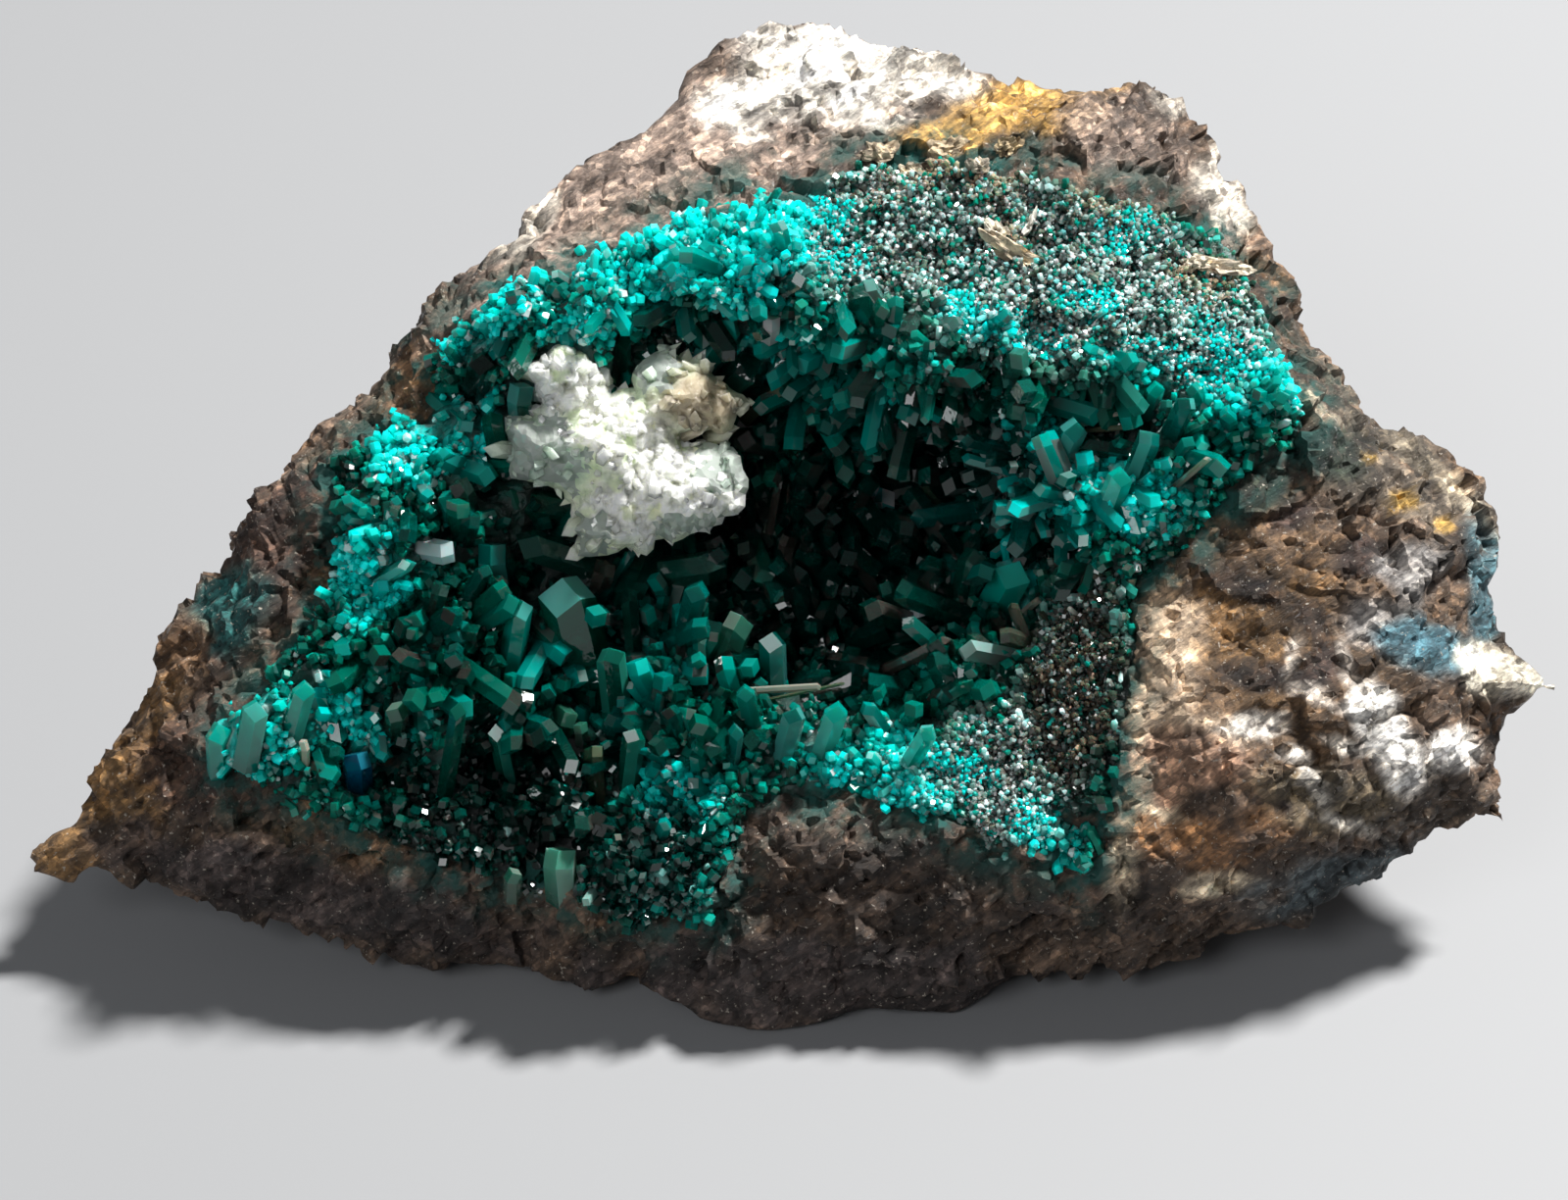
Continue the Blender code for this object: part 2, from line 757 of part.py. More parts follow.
def fuse(obj, where):
    """Joins the overlapping bodies of one object into one solid."""
    speck = bmesh.new()
    first = obj.data.vertices[0].co
    bmesh.ops.create_icosphere(speck, subdivisions=1, radius=0.2 * MM, matrix=Matrix.Translation(first))
    helper = cutter_from(speck, obj.name + "_speck", where)
    boolean(obj, helper, "UNION")


def settle(nodes):
    """Puts the middle of the specimen's underside at the origin."""
    corners = [obj.matrix_world @ v.co for obj in nodes for v in obj.data.vertices]
    low = [min(c[k] for c in corners) for k in range(3)]
    high = [max(c[k] for c in corners) for k in range(3)]
    shift = Vector((-(low[0] + high[0]) / 2, -(low[1] + high[1]) / 2, -low[2]))
    for obj in nodes:
        obj.location = shift
    print("settled by", [round(c / MM, 3) for c in shift], "mm")


def main():
    clear_scene()
    specimen = collection("dioptase_specimen")
    helpers = collection("helpers")
    blank = blank_lump(helpers)
    blank.hide_render = True
    blank.display_type = "WIRE"

    blank_tree = tree_of(blank)
    covered = under_crust(blank, blank_tree)
    rock = host_rock(blank, covered, specimen)
    crust = crust_bed(blank, covered, specimen)
    crystals = cutter_from(crust_crystals(blank_tree, tree_of(rock)), "crystals", helpers)
    boolean(crust, crystals, "UNION")

    calcite = object_from(calcite_cluster(0, "calcite_cluster", specimen), "calcite_cluster", specimen)
    pocket = cutter_from(calcite_cluster(CALCITE_GAP, "pocket", helpers), "calcite_pocket", helpers)
    fuse(calcite, helpers)
    fuse(pocket, helpers)
    boolean(crust, pocket, "DIFFERENCE")
    keep_largest_body(crust)

    rock.data.materials.append(material("host_rock", BROWN, 0.8))
    crust.data.materials.append(material("dioptase", GREEN, 0.15))
    calcite.data.materials.append(material("calcite", PALE, 0.25))
    settle([rock, crust, calcite])


main()
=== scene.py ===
import itertools
import math

import bmesh
import bpy
import numpy as np
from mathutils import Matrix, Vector
from mathutils.bvhtree import BVHTree
from mathutils.geometry import delaunay_2d_cdt


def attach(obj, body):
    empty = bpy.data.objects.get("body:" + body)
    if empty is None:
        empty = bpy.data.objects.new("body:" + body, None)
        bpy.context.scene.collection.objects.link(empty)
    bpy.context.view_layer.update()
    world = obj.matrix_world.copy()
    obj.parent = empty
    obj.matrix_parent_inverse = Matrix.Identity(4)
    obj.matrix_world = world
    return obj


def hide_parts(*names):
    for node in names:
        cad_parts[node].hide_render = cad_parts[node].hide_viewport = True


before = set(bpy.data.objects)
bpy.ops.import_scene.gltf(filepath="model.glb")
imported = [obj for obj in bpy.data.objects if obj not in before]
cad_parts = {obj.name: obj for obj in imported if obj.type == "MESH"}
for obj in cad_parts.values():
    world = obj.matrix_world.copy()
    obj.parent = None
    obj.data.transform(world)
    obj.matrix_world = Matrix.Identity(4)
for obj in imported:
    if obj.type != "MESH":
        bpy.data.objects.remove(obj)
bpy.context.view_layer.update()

# A landmark is (across, up, out) in millimetres: how far right of the middle of the view, how far up the
# plane that faces the viewer, and how far it stands out of that plane. Lengths in space are in metres.
MM = 0.001
LEAN = math.radians(38)
EYE_DISTANCE = 260 * MM
MIDDLE = Vector((-0.60, -9.55, 20.8)) * MM
VIEW_WIDTH = 92.486 * MM
UP_FACE = Vector((0, math.sin(LEAN), math.cos(LEAN)))
OUT = Vector((0, -math.cos(LEAN), math.sin(LEAN)))
EYE = MIDDLE + OUT * EYE_DISTANCE

# The crust's bed in the host rock: its depth, its depth at the edge, and over how many mm it gets deeper
BED_DEPTH = 3.2 * MM
EDGE_DEPTH = 1.2 * MM
THINNING = 4.0
# A point of the rock is in view where a ray from the eye meets no surface further than this before it
IN_VIEW = 1.5 * MM
# The crust's outline as points (across, up)
CRUST_OUTLINE = [
    (-20.5, 15.1), (-16.8, 18.4), (-11.6, 19.9), (-5.8, 22.5), (-1.2, 23.9), (2.0, 23.8),
    (3.4, 25.0), (7.4, 26.2), (12.1, 26.0), (17.3, 24.2), (22.6, 22.8), (26.2, 20.4),
    (28.0, 17.3), (28.6, 14.4), (31.0, 11.4), (29.6, 9.2), (26.6, 6.5), (23.1, 2.4),
    (20.8, 0.7), (19.9, -5.1), (19.7, -10.9), (17.9, -16.2), (14.5, -14.9), (9.2, -13.2),
    (3.5, -10.9), (-1.7, -11.7), (-3.2, -14.9), (-4.5, -18.8), (-9.2, -18.8), (-13.9, -17.0),
    (-21.4, -14.9), (-27.2, -12.6), (-33.4, -10.4), (-33.6, -7.4), (-30.6, -5.1), (-26.9, 0.1),
    (-27.0, 7.2), (-23.2, 10.6),
]

# The rock's surface: the grain of its mesh, the share of its triangles that is kept, the angle from which an
# edge is sharp, the tilt of its layers, how deep it lies under the crust and how wide a calm spot is, in mm
ROCK_VOXEL = 0.34 * MM
ROCK_SHARE = 0.5
SHARP_EDGE = math.radians(32)
FOLIATION = math.radians(36)
UNDER_CRUST = 0.9
CALM_REACH = 3.5
# Its facets: (height in mm, size in mm, seed), the smallest last
ROCK_FACETS = [(0.55, 7.5, 13), (0.95, 3.4, 3), (0.42, 1.4, 21)]

# Patches are soft ellipses on the facing plane: (across, up, half width, half height, turn in degrees), in mm
ROCK_PATCHES = [
    ("pink_grey", (0.235, 0.180, 0.150), [(-7.5, 25.5, 15, 4.6, 42), (0.5, 28.5, 8, 3.5, 10)]),
    # A white crust at the apex, painted whiter still as a highlight where the top catches the light
    ("white_crust_and_highlight", (0.80, 0.77, 0.71), [
        (3.4, 31.6, 6.2, 2.9, -8), (-2.0, 30.2, 3.0, 2.2, 45), (9.5, 30.6, 2.4, 0.9, -20),
    ]),
    ("ochre", (0.44, 0.26, 0.07), [
        (14.5, 28.9, 4.6, 1.5, 5), (18.0, 30.4, 2.4, 0.9, 0), (10.0, 27.4, 3.2, 1.1, 10),
    ]),
    ("grey_knob", (0.150, 0.115, 0.096), [(20.6, 27.2, 4.6, 3.0, -30)]),
    ("pale_edge", (0.62, 0.57, 0.50), [
        (25.6, 24.0, 1.3, 2.6, 20), (23.2, 29.2, 1.6, 0.9, -20), (-15.5, 21.6, 2.2, 0.7, 45),
    ]),
    ("spur", (0.17, 0.095, 0.035), [(-40.5, -12.4, 3.6, 6.5, -30), (-37.0, -7.5, 2.0, 4.0, -30)]),
    # Painted shade on the lower left of the rock
    ("left_painted_shade", (0.050, 0.029, 0.022), [(-31.5, 2.2, 4.2, 6.5, -35), (-34.0, -9.0, 3.5, 4.0, 0)]),
    ("teal_film", (0.012, 0.10, 0.10), [(-32.6, -0.6, 2.7, 2.0, 10)]),
    ("lobe_warm", (0.125, 0.078, 0.044), [(29.0, -3.0, 10, 9, 0)]),
    ("lobe_top", (0.120, 0.100, 0.078), [(36.0, 8.4, 6.5, 3.4, -25)]),
    ("rim_cream", (0.42, 0.36, 0.27), [
        (38.4, 7.6, 3.6, 0.8, -45), (31.0, 11.4, 2.0, 0.8, -30), (41.2, 3.6, 0.8, 2.0, 0),
    ]),
    ("ochre_spots", (0.40, 0.25, 0.06), [
        (36.6, 5.9, 0.8, 0.5, 0), (34.6, 8.4, 0.6, 0.4, 0), (39.0, 4.4, 0.5, 0.4, 0),
    ]),
    ("green_black", (0.012, 0.022, 0.016), [
        (32.4, 8.9, 2.8, 1.6, -20), (28.0, 6.4, 2.2, 1.0, 40), (22.6, 0.6, 1.2, 2.6, 0),
    ]),
    ("window", (0.13, 0.075, 0.032), [(27.9, -1.6, 5.2, 3.8, -10)]),
    # Dark ridges of the window, and a painted shadow under it in the lowest ellipse
    ("window_dark_and_shadow", (0.026, 0.015, 0.010), [
        (27.6, 0.7, 3.6, 0.9, -25), (31.0, -1.0, 1.6, 1.0, -40), (28.3, -4.4, 2.6, 0.9, 0),
    ]),
    ("cream_crust", (0.60, 0.46, 0.33), [
        (22.6, -4.6, 1.8, 4.2, 0), (24.6, -8.0, 2.4, 1.3, 0), (21.0, -8.6, 0.8, 3.0, 0),
    ]),
    ("rose", (0.36, 0.22, 0.15), [(23.6, -9.4, 3.6, 1.8, -10), (22.0, -11.6, 1.4, 1.2, 0)]),
    ("orange", (0.23, 0.115, 0.048), [(23.4, -14.0, 4.2, 1.6, -8), (28.6, -13.0, 2.6, 0.9, 0)]),
    ("shell_line", (0.62, 0.52, 0.38), [
        (21.4, -12.2, 2.4, 0.35, -20), (19.9, -15.4, 0.8, 2.8, 0), (25.0, -16.8, 2.0, 0.5, 10),
    ]),
    ("silver_row", (0.78, 0.75, 0.70), [(27.4, -7.4, 1.7, 0.6, 5), (30.2, -9.2, 1.0, 0.4, 0)]),
    ("olive_grey", (0.135, 0.108, 0.070), [(32.6, -11.6, 4.6, 2.0, -5)]),
    # Pits painted dark as painted shade
    ("pits", (0.022, 0.014, 0.013), [
        (31.8, -4.0, 1.6, 1.8, 0), (29.5, -12.2, 0.5, 0.5, 0),
        (34.2, 2.6, 1.6, 1.3, 0), (30.2, 5.0, 1.4, 0.7, 20),
    ]),
    ("pit_edges", (0.55, 0.50, 0.45), [
        (31.4, -5.6, 1.8, 0.35, -30), (33.2, -3.6, 0.35, 1.6, 15), (30.0, -3.2, 0.3, 1.3, -10),
    ]),
    ("silver_grey", (0.30, 0.29, 0.285), [(37.3, 1.6, 1.9, 1.6, 0), (34.6, -1.2, 1.8, 1.6, 0)]),
    ("blue_stain", (0.06, 0.16, 0.21), [(38.0, -3.0, 2.7, 1.5, -20), (36.2, -2.0, 1.6, 0.8, 0)]),
    ("blue_edge", (0.06, 0.15, 0.19), [(41.2, 2.6, 1.0, 2.6, 10), (41.4, -0.8, 0.9, 1.4, 0)]),
    ("white_ridge", (0.88, 0.87, 0.84), [
        (35.8, -8.8, 1.3, 3.4, 28), (34.4, -6.2, 1.6, 0.9, 0), (39.4, -8.8, 1.4, 1.2, 0),
    ]),
    ("white_seam", (0.62, 0.59, 0.54), [
        (31.4, -11.0, 0.5, 2.0, 30), (33.6, -13.4, 2.0, 0.35, -20), (33.0, -8.6, 1.4, 0.5, -20),
    ]),
    ("lobe_shadow", (0.085, 0.062, 0.045), [(39.4, -12.4, 3.6, 1.8, 10)]),
    # The right spur's tip: a painted highlight on its top and painted shade under it
    ("tip_painted_highlight", (0.93, 0.87, 0.72), [(43.6, -4.6, 3.6, 1.3, -15)]),
    ("tip_painted_shade", (0.07, 0.04, 0.022), [(43.2, -7.0, 2.4, 1.2, 15)]),
    ("blue_base", (0.060, 0.082, 0.094), [(33.2, -16.2, 4.6, 1.6, 14)]),
    # Painted shade on the lower front and on the underside
    ("front_painted_shade", (0.042, 0.029, 0.022), [(8.0, -17.0, 11.5, 4.2, -8)]),
    ("underside", (0.050, 0.039, 0.038), [(3.0, -22.8, 15, 2.6, -3), (-26, -17.6, 14, 2.2, -12)]),
]
# Smoother places of the rock: (across, up) and how much calmer the relief is there
CALM_SPOTS = [
    (-43.5, -16.0, 0.8), (45.0, -5.0, 0.8), (-5.4, 30.4, 0.6),
    (-8.6, 27.2, 0.4), (-14.0, 21.6, 0.4), (27.6, -1.0, 0.7),
    (24.6, -13.4, 0.6),
]
ROCK_BASE = (0.082, 0.056, 0.040)
RUST = (0.20, 0.11, 0.05)

# Zones of the crust, in the same form: painted glow of turquoise, sparkling black and white, painted shade
# deep in the hollow, tan, a faint painted glow of green, dim, and long-prismed
PAINTED_GLOW_ZONES = [
    (-16.5, 17.2, 5.0, 1.8, 35), (-8.5, 20.4, 6.5, 2.3, 20), (-1.0, 22.6, 4.2, 2.2, 5),
    (-4.5, 19.6, 7.0, 1.9, 5), (-11.5, 16.4, 3.4, 1.6, 10), (-1.5, 14.8, 3.6, 1.7, -5),
    (13.0, 16.4, 3.6, 1.2, -20), (20.4, 21.2, 1.8, 1.6, 0), (11.6, 16.6, 2.6, 1.1, -10),
    (18.0, 17.6, 2.0, 0.9, -15), (25.4, 15.6, 2.2, 1.3, -20), (27.8, 13.4, 3.4, 1.6, -30),
    (22.0, 14.0, 3.6, 1.2, -5), (16.0, 8.0, 3.2, 3.2, 0), (20.2, 6.2, 4.2, 2.0, 10),
    (26.0, 11.4, 3.0, 2.0, -20), (-21.4, 10.5, 3.4, 3.0, 0), (-24.5, 2.0, 2.2, 2.4, 0),
    (-30.6, -7.7, 5.0, 2.8, 10), (-24.0, -7.2, 3.0, 1.8, 0), (5.5, -10.0, 5.5, 2.3, -15),
    (15.8, -13.8, 2.2, 1.5, -20), (13.2, 1.0, 2.2, 1.6, 0), (-7.0, -12.0, 2.6, 2.0, 0),
]
SALT_ZONES = [
    (16.0, 19.8, 14.0, 5.2, -12), (6.0, 22.0, 5.0, 4.0, 0), (8.5, 24.8, 7.0, 2.6, 0),
    (25.5, 16.0, 4.0, 4.5, 0), (13.0, -10.0, 4.6, 3.8, 0), (17.5, -3.5, 2.5, 5.5, 0),
]
HOLLOW_SHADE_ZONES = [
    (10.0, 8.6, 5.0, 4.4, 0), (19.2, 10.3, 2.8, 1.4, 0), (16.2, 3.6, 1.6, 1.0, 0),
    (-6.4, 15.9, 2.6, 1.7, 25), (3.0, 1.5, 9.5, 6.0, -10), (-13.0, 5.0, 3.0, 6.0, 0),
    (-16.5, -9.5, 4.0, 2.6, 0), (-10.0, -15.0, 6.5, 4.0, 0),
]
TAN_ZONES = [
    (17.6, -3.5, 2.6, 6.0, 0), (8.4, 25.6, 5.0, 1.8, 0), (20.0, 24.2, 5.0, 1.6, -10),
    (13.6, 21.0, 1.2, 0.8, -40), (26.0, 19.2, 1.8, 2.2, 0), (23.0, 19.4, 2.4, 0.7, -10),
]
FAINT_GLOW_ZONES = [
    (3.5, 13.4, 4.5, 3.0, 0), (12.8, 6.0, 2.6, 5.0, 0), (-9.5, -3.5, 5.5, 4.5, 0),
    (-6.5, -15.5, 3.0, 4.0, 0),
]
DIM_ZONES = [
    (-16.0, -11.5, 7.5, 5.5, 0), (17.6, -4.5, 2.8, 8.0, 0),
]
PRISM_ZONES = [
    (5.5, 4.5, 10.5, 9.0, 0), (-11.0, -4.0, 9.0, 5.5, 0),
]


# Geometry of the view

def at(across, up, out):
    """The point in space of a landmark given in millimetres."""
    nearer = 1 - out * MM / EYE_DISTANCE
    return MIDDLE + Vector((across * MM * nearer, 0, 0)) + UP_FACE * (up * MM * nearer) + OUT * (out * MM)


def seen(points):
    """(across, up) in millimetres of an array of points, as the eye sees them."""
    offset = points - np.array(MIDDLE)
    nearer = 1 - offset @ np.array(OUT) / EYE_DISTANCE
    return offset[:, 0] / nearer / MM, offset @ np.array(UP_FACE) / nearer / MM


def to_eye(points):
    """Unit vectors from an array of points to the eye."""
    way = np.array(EYE) - points
    return way / np.linalg.norm(way, axis=1, keepdims=True)


def outline_depth(outline, across, up):
    """How far each (across, up) lies inside a closed outline, negative outside of it."""
    a = np.array(outline)
    b = np.roll(a, -1, axis=0)
    nearest = np.full(across.shape, np.inf)
    odd = np.zeros(across.shape, bool)
    for (ax, ay), (bx, by) in zip(a, b):
        dx, dy = bx - ax, by - ay
        along = np.clip(((across - ax) * dx + (up - ay) * dy) / (dx * dx + dy * dy), 0, 1)
        nearest = np.minimum(nearest, np.hypot(across - ax - along * dx, up - ay - along * dy))
        crosses = (ay > up) != (by > up)
        odd ^= crosses & (across < ax + (up - ay) / (dy if dy else 1e-9) * dx)
    return np.where(odd, nearest, -nearest)


# Noise

# Large odd numbers that scatter the bits of whole numbers
CELL_KEYS = (73856093, 19349663, 83492791)
SEED_KEY = 2654435761
STIR_KEYS = (2246822519, 3266489917)
WORD = 0xFFFFFFFF
FRACTION = 0xFFFFFF


def scatter_bits(cells, seed):
    """A random number in 0..1 for each row of three whole numbers."""
    bits = seed * SEED_KEY
    for column, key in enumerate(CELL_KEYS):
        bits = bits ^ cells[:, column] * key
    bits = (bits ^ (bits >> 15)) * STIR_KEYS[0] & WORD
    bits = (bits ^ (bits >> 13)) * STIR_KEYS[1] & WORD
    return ((bits ^ (bits >> 16)) & FRACTION) / FRACTION


def soft_noise(points, size, seed):
    """Smooth noise in -1..1, whose lumps are about size apart."""
    scaled = points / size
    base = np.floor(scaled).astype(np.int64)
    part = scaled - base
    part = part * part * (3 - 2 * part)
    total = np.zeros(len(points))
    for corner in itertools.product((0, 1), repeat=3):
        weight = np.prod(np.where(np.array(corner) == 1, part, 1 - part), axis=1)
        total += weight * scatter_bits(base + corner, seed)
    return total * 2 - 1


def rough_noise(points, size, octaves, seed):
    """Several layers of smooth noise, each half as large and half as strong."""
    total = np.zeros(len(points))
    for k in range(octaves):
        total += soft_noise(points, size / 2**k, seed + k) / 2**k
    return total


def shards(points, size, seed):
    """Flat tilted facets: the height of a random plane in each cell, and how near the cell's border is."""
    base = np.floor(points / size).astype(np.int64)
    nearest = np.full(len(points), np.inf)
    second = np.full(len(points), np.inf)
    height = np.zeros(len(points))
    for corner in itertools.product((-1, 0, 1), repeat=3):
        cell = base + corner
        jitter = np.stack([scatter_bits(cell, seed + k) for k in (1, 2, 3)], axis=1)
        tilt = np.stack([scatter_bits(cell, seed + k) for k in (4, 5, 6)], axis=1) * 2 - 1
        offset = points - (cell + jitter) * size
        distance = np.linalg.norm(offset, axis=1)
        plane = np.sum(offset * tilt, axis=1) / size
        closer = distance < nearest
        second = np.where(closer, nearest, np.minimum(second, distance))
        height = np.where(closer, plane, height)
        nearest = np.where(closer, distance, nearest)
    return height, (second - nearest) / size


def step(low, high, values):
    """Rises smoothly from 0 at low to 1 at high."""
    share = np.clip((values - low) / (high - low), 0, 1)
    return share * share * (3 - 2 * share)


def in_patches(patches, across, up, ragged, soft=0.35):
    """How much each (across, up) lies in any of the soft ellipses, with ragged added to the distance."""
    most = np.zeros(across.shape)
    for cx, cy, rx, ry, turn in patches:
        c, s = math.cos(math.radians(turn)), math.sin(math.radians(turn))
        dx, dy = across - cx, up - cy
        reach = np.hypot((dx * c + dy * s) / rx, (dy * c - dx * s) / ry) + ragged
        most = np.maximum(most, step(1 + soft, 1 - soft, reach))
    return most


# Meshes

def rows(items, name):
    """One row of three numbers for each item, read from the property of that name."""
    values = np.empty(len(items) * 3)
    items.foreach_get(name, values)
    return values.reshape(-1, 3)


def set_coords(mesh, points):
    mesh.vertices.foreach_set("co", np.ascontiguousarray(points, dtype=np.float32).ravel())
    mesh.update()


def paint(mesh, name, colours):
    """Stores a colour for each vertex."""
    layer = mesh.attributes.new(name, "FLOAT_COLOR", "POINT")
    full = np.ones((len(mesh.vertices), 4), np.float32)
    full[:, :3] = colours
    layer.data.foreach_set("color", full.ravel())


def grade(mesh, name, values):
    """Stores a number for each vertex."""
    layer = mesh.attributes.new(name, "FLOAT", "POINT")
    layer.data.foreach_set("value", np.ascontiguousarray(values, dtype=np.float32))


def surface(mesh):
    """Points and normals of a mesh, where the eye sees the points, and how much they face it."""
    points, outward = rows(mesh.vertices, "co"), rows(mesh.vertex_normals, "vector")
    across, up = seen(points)
    return points, outward, across, up, np.sum(outward * to_eye(points), axis=1)


def new_object(name, data):
    obj = bpy.data.objects.new(name, data)
    bpy.context.scene.collection.objects.link(obj)
    return obj


def settled(obj):
    """Puts what an object's modifiers make in place of its mesh."""
    graph = bpy.context.evaluated_depsgraph_get()
    mesh = bpy.data.meshes.new_from_object(obj.evaluated_get(graph))
    obj.modifiers.clear()
    obj.data = mesh


def remeshed(obj, voxel):
    modifier = obj.modifiers.new("Even skin", "REMESH")
    modifier.mode = "VOXEL"
    modifier.voxel_size = voxel
    settled(obj)


def thinned(obj, share):
    """Fewer, uneven triangles, which break a surface into facets."""
    modifier = obj.modifiers.new("Fewer faces", "DECIMATE")
    modifier.ratio = share
    settled(obj)


def relaxed(mesh, rounds, strength):
    """Evens a mesh out."""
    bm = bmesh.new()
    bm.from_mesh(mesh)
    for _ in range(rounds):
        bmesh.ops.smooth_vert(
            bm, verts=bm.verts, factor=strength, use_axis_x=True, use_axis_y=True, use_axis_z=True,
        )
    bm.to_mesh(mesh)
    bm.free()


def filled_lump():
    """The host rock with the sunken bed of the crust filled up to the crust's own surface."""
    bm = bmesh.new()
    bm.from_mesh(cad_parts["matrix"].data)
    bmesh.ops.remove_doubles(bm, verts=bm.verts, dist=0.001 * MM)
    tree = BVHTree.FromBMesh(bm)
    points = np.array([v.co for v in bm.verts])
    depth = outline_depth(CRUST_OUTLINE, *seen(points))
    ways = to_eye(points)
    for vertex, inward, way in zip(bm.verts, depth, ways):
        if inward > 0:
            first = tree.ray_cast(EYE, Vector(-way))[3]
            if first is None or first > (vertex.co - EYE).length - IN_VIEW:
                vertex.co += Vector(way) * (EDGE_DEPTH + (BED_DEPTH - EDGE_DEPTH) * min(inward / THINNING, 1))
    mesh = bpy.data.meshes.new("lump")
    bm.to_mesh(mesh)
    bm.free()
    return new_object("lump", mesh)


# Host rock

def layered(points, across, up):
    """Places in mm that run slowly along the rock's layers and fast across them."""
    c, s = math.cos(FOLIATION), math.sin(FOLIATION)
    return np.stack([(across * c + up * s) * 0.22, up * c - across * s, points[:, 1] / MM * 0.3], axis=1)


def rock_colours(points, across, up, facing):
    """The rock's colour at each point: brown, with the patches of the front, some of them painted shade and
    highlight.
    """
    ragged = rough_noise(points, 2.4 * MM, 4, 31) * 0.46
    colour = np.tile(np.array(ROCK_BASE), (len(points), 1))
    shade = 1 + 0.45 * rough_noise(points, 7 * MM, 3, 12)
    colour *= np.clip(shade, 0.45, 1.7)[:, None]
    rusty = step(0.25, 0.8, rough_noise(points, 9 * MM, 3, 77))
    colour += (np.array(RUST) - colour) * (rusty * 0.5)[:, None]
    for _, patch_colour, patches in ROCK_PATCHES:
        share = in_patches(patches, across, up, ragged) * step(-0.15, 0.25, facing)
        colour += (np.array(patch_colour) - colour) * (share * 0.92)[:, None]
    colour *= np.clip(1 + 0.75 * rough_noise(layered(points, across, up), 1.1, 3, 17), 0.35, 2.2)[:, None]
    return np.clip(colour, 0.008, 0.95)


def host_rock(lump):
    """The lump with its broken surface, sunk a little under the crust."""
    rock = new_object("host_rock", lump.data.copy())
    points, outward, across, up, facing = surface(rock.data)
    inward = outline_depth(CRUST_OUTLINE, across, up)
    relief = np.zeros(len(points))
    for height, size, seed in ROCK_FACETS:
        plane, edge = shards(points, size * MM, seed)
        relief += height * plane
    relief += 0.25 * rough_noise(layered(points, across, up), 1.0, 2, 19)
    relief += 0.30 * rough_noise(points, 2.6 * MM, 3, 5)
    relief -= 0.25 * (1 - step(0.0, 0.16, edge))
    under = step(-0.4, 1.2, inward) * step(0.0, 0.2, facing)
    relief = relief * (1 - 0.7 * under) - UNDER_CRUST * under
    # The relief fades out at the underside and is calmer in some spots
    strength = step(0.0, 2.0, points[:, 2] / MM)
    for spot_across, spot_up, calmer in CALM_SPOTS:
        apart = (across - spot_across) ** 2 + (up - spot_up) ** 2
        strength *= 1 - calmer * np.exp(-apart / (2 * CALM_REACH**2))
    shape = points + outward * (relief * strength * MM)[:, None]
    shape[:, 2] = np.maximum(shape[:, 2], 0)
    set_coords(rock.data, shape)
    thinned(rock, ROCK_SHARE)
    mesh = rock.data
    points, outward, across, up, facing = surface(mesh)
    inward = outline_depth(CRUST_OUTLINE, across, up)
    paint(mesh, "tone", rock_colours(points, across, up, facing))
    layers = mesh.attributes.new("layers", "FLOAT_VECTOR", "POINT")
    layers.data.foreach_set("vector", layered(points, across, up).astype(np.float32).ravel())
    ragged = rough_noise(points, 3 * MM, 3, 8) * 0.9
    grade(mesh, "stain", step(-3.2, 0.3, inward + ragged) * step(0.0, 0.2, facing))
    mesh.shade_smooth()
    mesh.set_sharp_from_angle(angle=SHARP_EDGE)
    return rock


# Crust of crystals

# The bed's height over the lump and at its sunken edge, in mm, and the size of its grains of colour
BED_LIFT = 0.35
BED_SUNK = -1.3
BED_GRAIN = 0.55 * MM
# A crystal's painted root shade and tip light; its mesh has two rings of six points and one at the tip
PAINTED_ROOT_SHADE = 0.30
PAINTED_TIP_LIGHT = 1.15
POINTS_EACH = 13
PALEST = 0.95
# How many small crystals each mesh of the druse has, and how many medium ones there are
DRUSE_CRYSTALS = (11000, 11000, 8000)
MEDIUM_CRYSTALS = 3200
# The share of crystals painted white as glints, and how thinly they stand where there is no room for them
GLINT_SHARE_SMALL = 0.03
GLINT_SHARE_LARGE = 0.008
NO_ROOM = 0.04


def crust_fields(points, across, up):
    """Painted glow, salt-and-pepper, holes, dimness, painted shade, prisms and tan of the crust at each
    point.
    """
    ragged = rough_noise(points, 3 * MM, 3, 55) * 0.5
    patchy = 0.4 + 0.6 * step(-0.6, 0.4, rough_noise(points, 2.2 * MM, 2, 58))
    salt = in_patches(SALT_ZONES, across, up, ragged * 0.6)
    holes = step(0.42, 0.80, rough_noise(points, 2.3 * MM, 2, 63)) * (1 - salt)
    dim = in_patches(DIM_ZONES, across, up, ragged * 0.8)
    # Painted glow: turquoise where light shines through the crust, and a fainter glow of green
    green = 0.3 * in_patches(FAINT_GLOW_ZONES, across, up, ragged)
    painted_glow = np.maximum(in_patches(PAINTED_GLOW_ZONES, across, up, ragged), green)
    # Painted shade in the crust's pits, and darker in the dim zones
    pit_shade_and_dim = np.maximum(0.85 * holes, 0.5 * dim)
    return {
        "painted_glow": painted_glow * patchy * (1 - 0.9 * holes),
        "salt": salt,
        "holes": holes,
        "dim": dim,
        # deep: painted shade deep in the hollow, in pits and in the dim zones
        "deep": np.maximum(in_patches(HOLLOW_SHADE_ZONES, across, up, ragged * 0.6), pit_shade_and_dim),
        "prism": in_patches(PRISM_ZONES, across, up, ragged * 0.4),
        "tan": in_patches(TAN_ZONES, across, up, ragged * 1.2, 0.6),
    }


